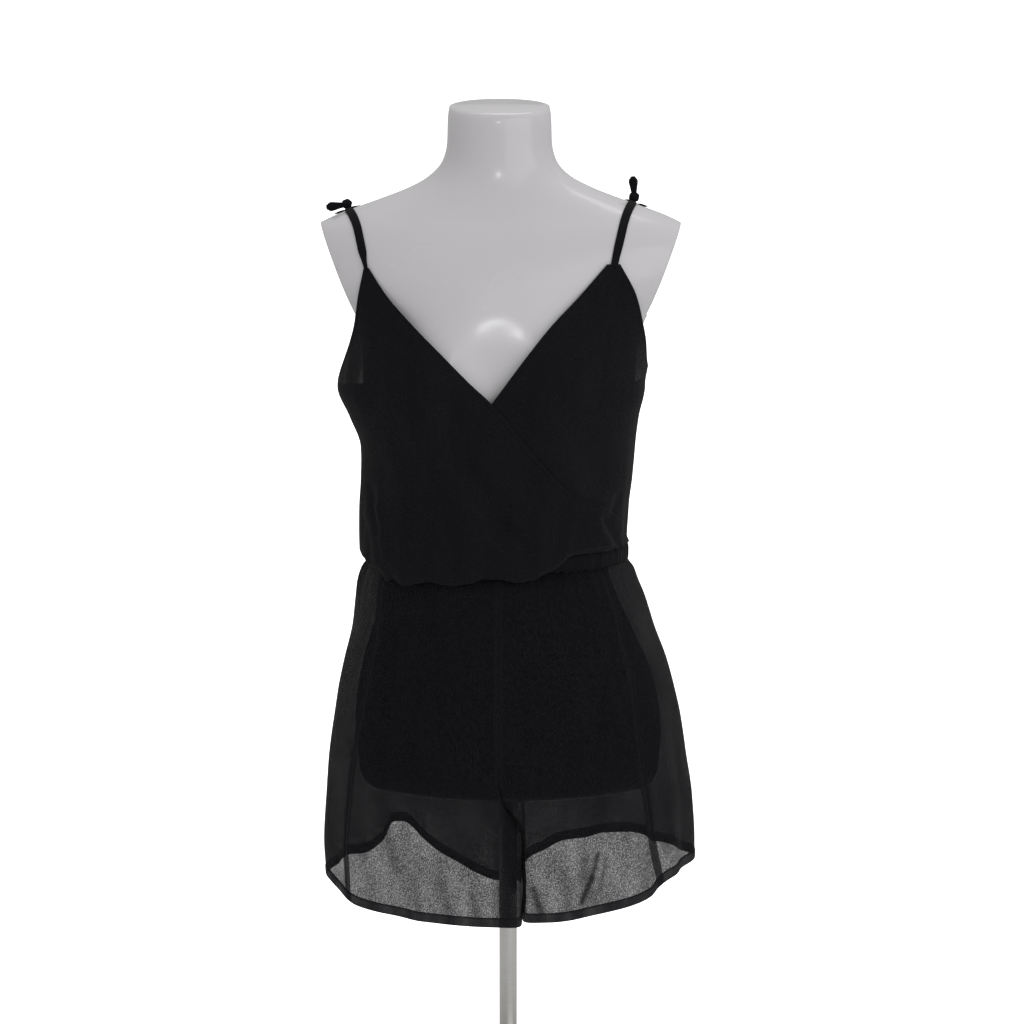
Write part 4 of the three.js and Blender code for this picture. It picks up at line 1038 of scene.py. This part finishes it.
def panel_line(side, face, height):
    """Outer face of a panel at one height, from its side seam to the centre seam or round to the inseam."""
    section = SHORTS_SECTIONS.at(height)
    sides = SHORTS_SIDES.at(height)
    seam_angle = sides.right if side < 0 else sides.left
    centre = CENTRE_SEAM.at(height).x
    share = CROTCH_TURN.at(height).share

    def to_angle(x):
        degrees = angle_at(section, x, face)
        return degrees - 360 if face == BACK and side < 0 else degrees

    face_y = shorts_ring(to_angle(centre), height).y
    seam_y = mix(face_y, INSEAM_Y, share)
    corner = min(INSEAM_CORNER, abs(seam_y - face_y))
    start = seam_angle - face * side * trim(section.half)
    end = to_angle(centre + side * max(corner, CENTRE_GAP / 2))
    steps = 110
    line = [shorts_ring(mix(start, end, i / steps), height) for i in range(steps + 1)]
    if corner > CENTRE_GAP:
        wall_x = centre + side * INSEAM_CLEAR
        first = line[-1]
        bend = Vector((wall_x, face_y, height))
        inner = Vector((wall_x, face_y + face * corner, height))
        for i in range(1, 9):
            t = i / 8
            line.append(first.lerp(bend, t).lerp(bend.lerp(inner, t), t))
        below = height <= CROTCH_HEIGHT
        end_x = wall_x if below else centre + side * CENTRE_GAP / 2
        end_y = seam_y - face * SEAM_GAP / 2 if below else seam_y
        for i in range(1, 9):
            t = i / 8
            bow = INSEAM_BOW * share * (1 - (1 - t) ** 2)
            line.append(Vector((mix(wall_x, end_x, t) + bow, mix(inner.y, end_y, t), height)))
    return line


@lru_cache(maxsize=None)
def stations(side, face, step, columns):
    """Points of a panel's line at one step of the ladder, one for each column."""
    height = step * LADDER_STEP
    line = panel_line(side, face, height)
    lengths = [0.0]
    for before, after in zip(line, line[1:]):
        lengths.append(lengths[-1] + (after - before).length)
    whole = lengths[-1]
    turned_in = CROTCH_TURN.at(height).share * INSEAM_REACH + INNER_LEAST
    inner = mix(turned_in, whole * INNER_SHARE, ease(height, KNEE_LOW, KNEE_HIGH))
    knee_column = round(columns * (1 - INNER_SHARE))
    points, i = [], 1
    for column in range(columns + 1):
        if column <= knee_column:
            target = (whole - inner) * column / knee_column
        else:
            target = whole - inner * (columns - column) / (columns - knee_column)
        while i < len(line) - 1 and lengths[i] < target:
            i += 1
        piece = lengths[i] - lengths[i - 1]
        points.append(line[i - 1].lerp(line[i], min((target - lengths[i - 1]) / piece, 1) if piece else 0))
    return points


def shorts_point(side, face, column, columns, height):
    step = height / LADDER_STEP
    low = math.floor(step)
    below = stations(side, face, low, columns)[column]
    above = stations(side, face, low + 1, columns)[column]
    return below.lerp(above, step - low)


def hem_height(point):
    line = HEM_LINE.at(round(point.x, 2))
    return mix(line.front, line.back, ease(point.y, -HEM_BLEND, HEM_BLEND))


@lru_cache(maxsize=None)
def hem_start(side, face, column, columns):
    return hem_height(shorts_point(side, face, column, columns, HEM_LEVEL))


PANEL_COLUMNS = {FRONT: 96, BACK: 132}
PANEL_ROWS = 130
UPPER_SHARE = 0.7


def panel_height(v, low):
    """Height along a panel, where v runs up and the rows below the crotch follow the hem."""
    if v > 1 - UPPER_SHARE:
        return mix(CROTCH_HEIGHT, SHORTS_TOP, (v - 1 + UPPER_SHARE) / UPPER_SHARE)
    return mix(low, CROTCH_HEIGHT, v / (1 - UPPER_SHARE))


def shorts_crease(point):
    creases = SHORTS_CREASES if point.y < 0 else SEAT_CREASES_AND_SHADE
    return min(fold_swell(creases, point.x, point.z), 1.0)


def shorts_panel(side, face):
    columns = PANEL_COLUMNS[face]
    outward = side * face < 0

    def column_of(u):
        column = round(u * columns)
        return column if outward else columns - column

    def surface(u, v):
        column = column_of(u)
        low = hem_start(side, face, column, columns) + HEM_DEPTH - 1
        return shorts_point(side, face, column, columns, panel_height(v, low))

    bm = grid(surface, columns, PANEL_ROWS, shorts_crease)
    label, where = ("right" if side < 0 else "left"), ("front" if face == FRONT else "back")
    node = f"shorts_{where}_{label}"
    piece = finish_piece(bm, f"{node}_panel", SHEER_CREPE, [node])
    return solid(piece, CREPE_WALL)


def hem_band(side):
    """Turned hem of one leg, doubled, in a closed band under its two panels."""
    front, back = PANEL_COLUMNS[FRONT], PANEL_COLUMNS[BACK]
    around = [(FRONT, column) for column in range(front + 1)]
    around += [(BACK, column) for column in reversed(range(back + 1))]
    if side > 0:
        around.reverse()
    columns = len(around)

    def surface(u, v):
        face, column = around[round(u * columns) % columns]
        low = hem_start(side, face, column, PANEL_COLUMNS[face])
        point = shorts_point(side, face, column, PANEL_COLUMNS[face], low + v * HEM_DEPTH)
        centre = Vector((side * 90, 10, point.z))
        outwards = (point - centre).normalized()
        return point + outwards * 0.5 * math.sin(math.pi * v) ** 0.4

    bm = grid(surface, columns, 8)
    bmesh.ops.remove_doubles(bm, verts=bm.verts, dist=0.01)
    label = "right" if side < 0 else "left"
    piece = finish_piece(bm, f"leg_hem_{label}", HEM_CREPE, [f"hem_{label}"])
    row = [(i / columns, 0.84) for i in range(columns + 1)]
    stitch_rows(f"hem_stitches_{label}", [sewn_line(surface, row, 1 / columns)])
    return solid(piece, HEM_WALL)


# Straps and ties


def skin_of(piece):
    """Tree for finding places on a piece, in metres."""
    bm = bmesh.new()
    bm.from_mesh(piece.data)
    tree = BVHTree.FromBMesh(bm)
    bm.free()
    return tree


def shoulder_point(skin, x, degrees):
    out = Vector((0, -math.cos(math.radians(degrees)), math.sin(math.radians(degrees))))
    origin = Vector((x, 0, STRAP_CENTRE)) + out * STRAP_REACH
    place, normal, _, _ = skin.ray_cast(origin * MM, -out)
    return place / MM, normal


def route_angle(skin, route, height, low, high):
    for _ in range(24):
        middle = (low + high) / 2
        place, _ = shoulder_point(skin, route.at(middle).x, middle)
        if place.z < height:
            low = middle
        else:
            high = middle
    return (low + high) / 2


def strap_path(skin, route, start, end, rows, shift=0.0):
    places, normals = [], []
    for i in range(rows + 1):
        degrees = mix(start, end, i / rows)
        place, normal = shoulder_point(skin, route.at(degrees).x + shift, degrees)
        places.append(place + normal * (STRAP_SEAT + STRAP_WALL / 2))
        normals.append(normal)
    return places, normals


def land(places, landing):
    """Moves the first place of a strap to where it is sewn on, and eases out."""
    move = landing - places[0]
    for i in range(LANDING_ROWS):
        places[i] += move * (1 - i / LANDING_ROWS) ** 2


def strap_piece(name, places, normals, node, pinch=1.0):
    """Stretch of strap, which is pinched narrower where it is sewn on."""
    widths = [STRAP_WIDTH * mix(pinch, 1, ease(i, 0, PINCH_ROWS)) for i in range(len(places))]
    bm = band(places, normals, widths, STRAP_WALL, sides=16)
    return finish_piece(bm, name, DOUBLE_CREPE, [node])


def knot_turns(centre):
    """Three turns of the strap, wound round each other into a small knot."""
    bm = bmesh.new()
    for tilt, spin in ((20, 0), (80, 50), (140, 120)):
        axis = Vector((math.cos(math.radians(tilt)), math.sin(math.radians(spin)) * 0.5,
                       math.sin(math.radians(tilt)))).normalized()
        first = axis.orthogonal().normalized()
        second = axis.cross(first)
        places, normals = [], []
        for i in range(28):
            turn = 2 * math.pi * i / 28
            out = first * math.cos(turn) + second * math.sin(turn)
            places.append(centre + out * (KNOT_SIZE - 1.2 + 0.4 * math.sin(3 * turn)))
            normals.append(out)
        turn_mesh = bpy.data.meshes.new("turn")
        ring = band(places, normals, [6.4] * len(places), 2.2, closed=True)
        ring.to_mesh(turn_mesh)
        ring.free()
        bm.from_mesh(turn_mesh)
        bpy.data.meshes.remove(turn_mesh)
    return bm


def loop_band(centre, turn_degrees):
    """Loop of strap that stands off the knot, with its flat side to the front, pinched where it is tied."""
    turn = math.radians(turn_degrees)
    along = Vector((math.cos(turn), 0, math.sin(turn)))
    count = 40
    places, widths = [], []
    for i in range(count):
        t = 2 * math.pi * i / count
        out = (1 - math.cos(t)) / 2
        bulge = LOOP_OPENING / 2 * math.sin(t) * (0.7 + 0.3 * out)
        places.append(centre + along * (KNOT_SIZE * 0.7 + LOOP_LENGTH * out) + Vector((0, bulge, 0)))
        widths.append(LOOP_WIDTH * mix(LOOP_PINCH, 1, ease(out, 0, 0.8)) * (1 - LOOP_ROUND * ease(out, 0.72, 1) ** 2))
    middle = centre + along * (KNOT_SIZE * 0.7 + LOOP_LENGTH / 2)
    aside = Vector((0, 1, 0)).cross(along)
    normals = []
    for i in range(count):
        ahead = places[(i + 1) % count] - places[i - 1]
        normal = aside.cross(ahead).normalized()
        normals.append(-normal if normal.dot(places[i] - middle) < 0 else normal)
    return band(places, normals, widths, STRAP_WALL, closed=True)


def ties(skin):
    pieces = []
    for label, tie in TIES.items():
        peak_section = BODICE_SECTIONS.at(tie.peak)
        front_start = route_angle(skin, tie.route, tie.peak, 5, 60)
        peak_x = tie.route.at(front_start).x
        peak = bodice_point(angle_at(peak_section, peak_x, FRONT), tie.peak)
        places, normals = strap_path(skin, tie.route, front_start, tie.front_end, 40)
        land(places, peak + Vector((0, 0, STRAP_SEWN)))
        pieces.append(strap_piece(f"front_strap_{label}", places, normals, f"strap_front_{label}",
                                  tie.twist))

        blade_level = back_top(angle_at(BODICE_SECTIONS.at(BACK_TOP_MIDDLE), tie.blade_x, BACK))
        blade_section = BODICE_SECTIONS.at(blade_level)
        back_start = route_angle(skin, tie.route, blade_level, 240, 150)
        blade = bodice_point(angle_at(blade_section, tie.blade_x, BACK), blade_level)
        places, normals = strap_path(skin, tie.route, back_start, tie.back_start, 70)
        land(places, blade + Vector((0, 0, STRAP_SEWN)))
        pieces.append(strap_piece(f"back_strap_{label}", places, normals, f"strap_back_{label}"))

        places, normals = strap_path(skin, tie.route, *tie.tail, 16, tie.tail_shift)
        pieces.append(strap_piece(f"tail_{label}", places, normals, f"tie_tail_{label}"))

        place, normal = shoulder_point(skin, tie.route.at(90).x, 90)
        centre = place + normal * (KNOT_SIZE + 0.3)
        knot = finish_piece(knot_turns(centre), f"knot_{label}", DOUBLE_CREPE, [f"tie_knot_{label}"])
        bm = loop_band(centre, tie.loop_turn)
        loop = finish_piece(bm, f"loop_{label}", DOUBLE_CREPE, [f"tie_loop_{label}"])
        pieces += [knot, loop]
    return pieces


# Stage, light and camera


def stage():
    """Pale floor that looks as over-exposed as the backdrop, but lights the object only softly."""
    bm = bmesh.new()
    bmesh.ops.create_circle(bm, cap_ends=True, segments=128, radius=30)
    mesh = bpy.data.meshes.new("floor")
    bm.to_mesh(mesh)
    bm.free()
    floor = bpy.data.objects.new("floor", mesh)
    bpy.context.scene.collection.objects.link(floor)
    finish, tree, shader = principled("floor_paint", 0.9, specular=0.1)
    shader.inputs["Base Color"].default_value = (0.85, 0.85, 0.85, 1)
    shader.inputs["Emission Color"].default_value = (1, 1, 1, 1)
    seen = tree.nodes.new("ShaderNodeLightPath").outputs["Is Camera Ray"]
    tree.links.new(math_node(tree, "MULTIPLY", seen, BACKDROP_SEEN), shader.inputs["Emission Strength"])
    mesh.materials.append(finish)


def light(name, place, size, watts, target=(0, 0, 0.75)):
    lamp = bpy.data.lights.new(name, "AREA")
    lamp.shape = "RECTANGLE"
    lamp.size, lamp.size_y = size
    lamp.energy = watts
    holder = bpy.data.objects.new(name, lamp)
    holder.location = place
    holder.rotation_euler = (Vector(target) - Vector(place)).to_track_quat("-Z", "Y").to_euler()
    bpy.context.scene.collection.objects.link(holder)


def studio():
    """Over-exposed white backdrop, soft light all round, a flash over the camera, and large soft lamps."""
    world = bpy.data.worlds.new("studio")
    world.use_nodes = True
    tree = world.node_tree
    background = tree.nodes["Background"]
    background.inputs["Color"].default_value = (1, 1, 1, 1)
    seen = tree.nodes.new("ShaderNodeLightPath").outputs["Is Camera Ray"]
    strength = range_node(tree, seen, 0, 1, SOFT_LIGHT, BACKDROP_SEEN)
    tree.links.new(strength, background.inputs["Strength"])
    bpy.context.scene.world = world
    light("camera_flash", (-0.06, -3.0, 1.56), (0.1, 0.1), 1.8)
    light("front_fill", (2.6, -3.6, 1.3), (5.0, 3.6), 52)
    light("overhead", (0.2, 0.3, 3.2), (1.6, 1.6), 16)


def camera():
    tilt = math.radians(CAMERA_ELEVATION)
    target = Vector(CAMERA_TARGET) * MM
    back = Vector((0, -math.cos(tilt), math.sin(tilt)))
    data = bpy.data.cameras.new("camera")
    data.sensor_width = SENSOR_WIDTH
    data.lens = CAMERA_LENS
    holder = bpy.data.objects.new("camera", data)
    holder.location = target + back * CAMERA_DISTANCE * MM
    holder.rotation_euler = (-back).to_track_quat("-Z", "Y").to_euler()
    bpy.context.scene.collection.objects.link(holder)
    bpy.context.scene.camera = holder


camera()
studio()
stage()
form = dress_form()
stand()
back_panel()
waist_casing()
for side in SIDES.values():
    front_panel(side)
    shorts_panel(side, FRONT)
    shorts_panel(side, BACK)
    hem_band(side)
ties(skin_of(form))

bpy.context.scene.view_settings.view_transform = "Standard"
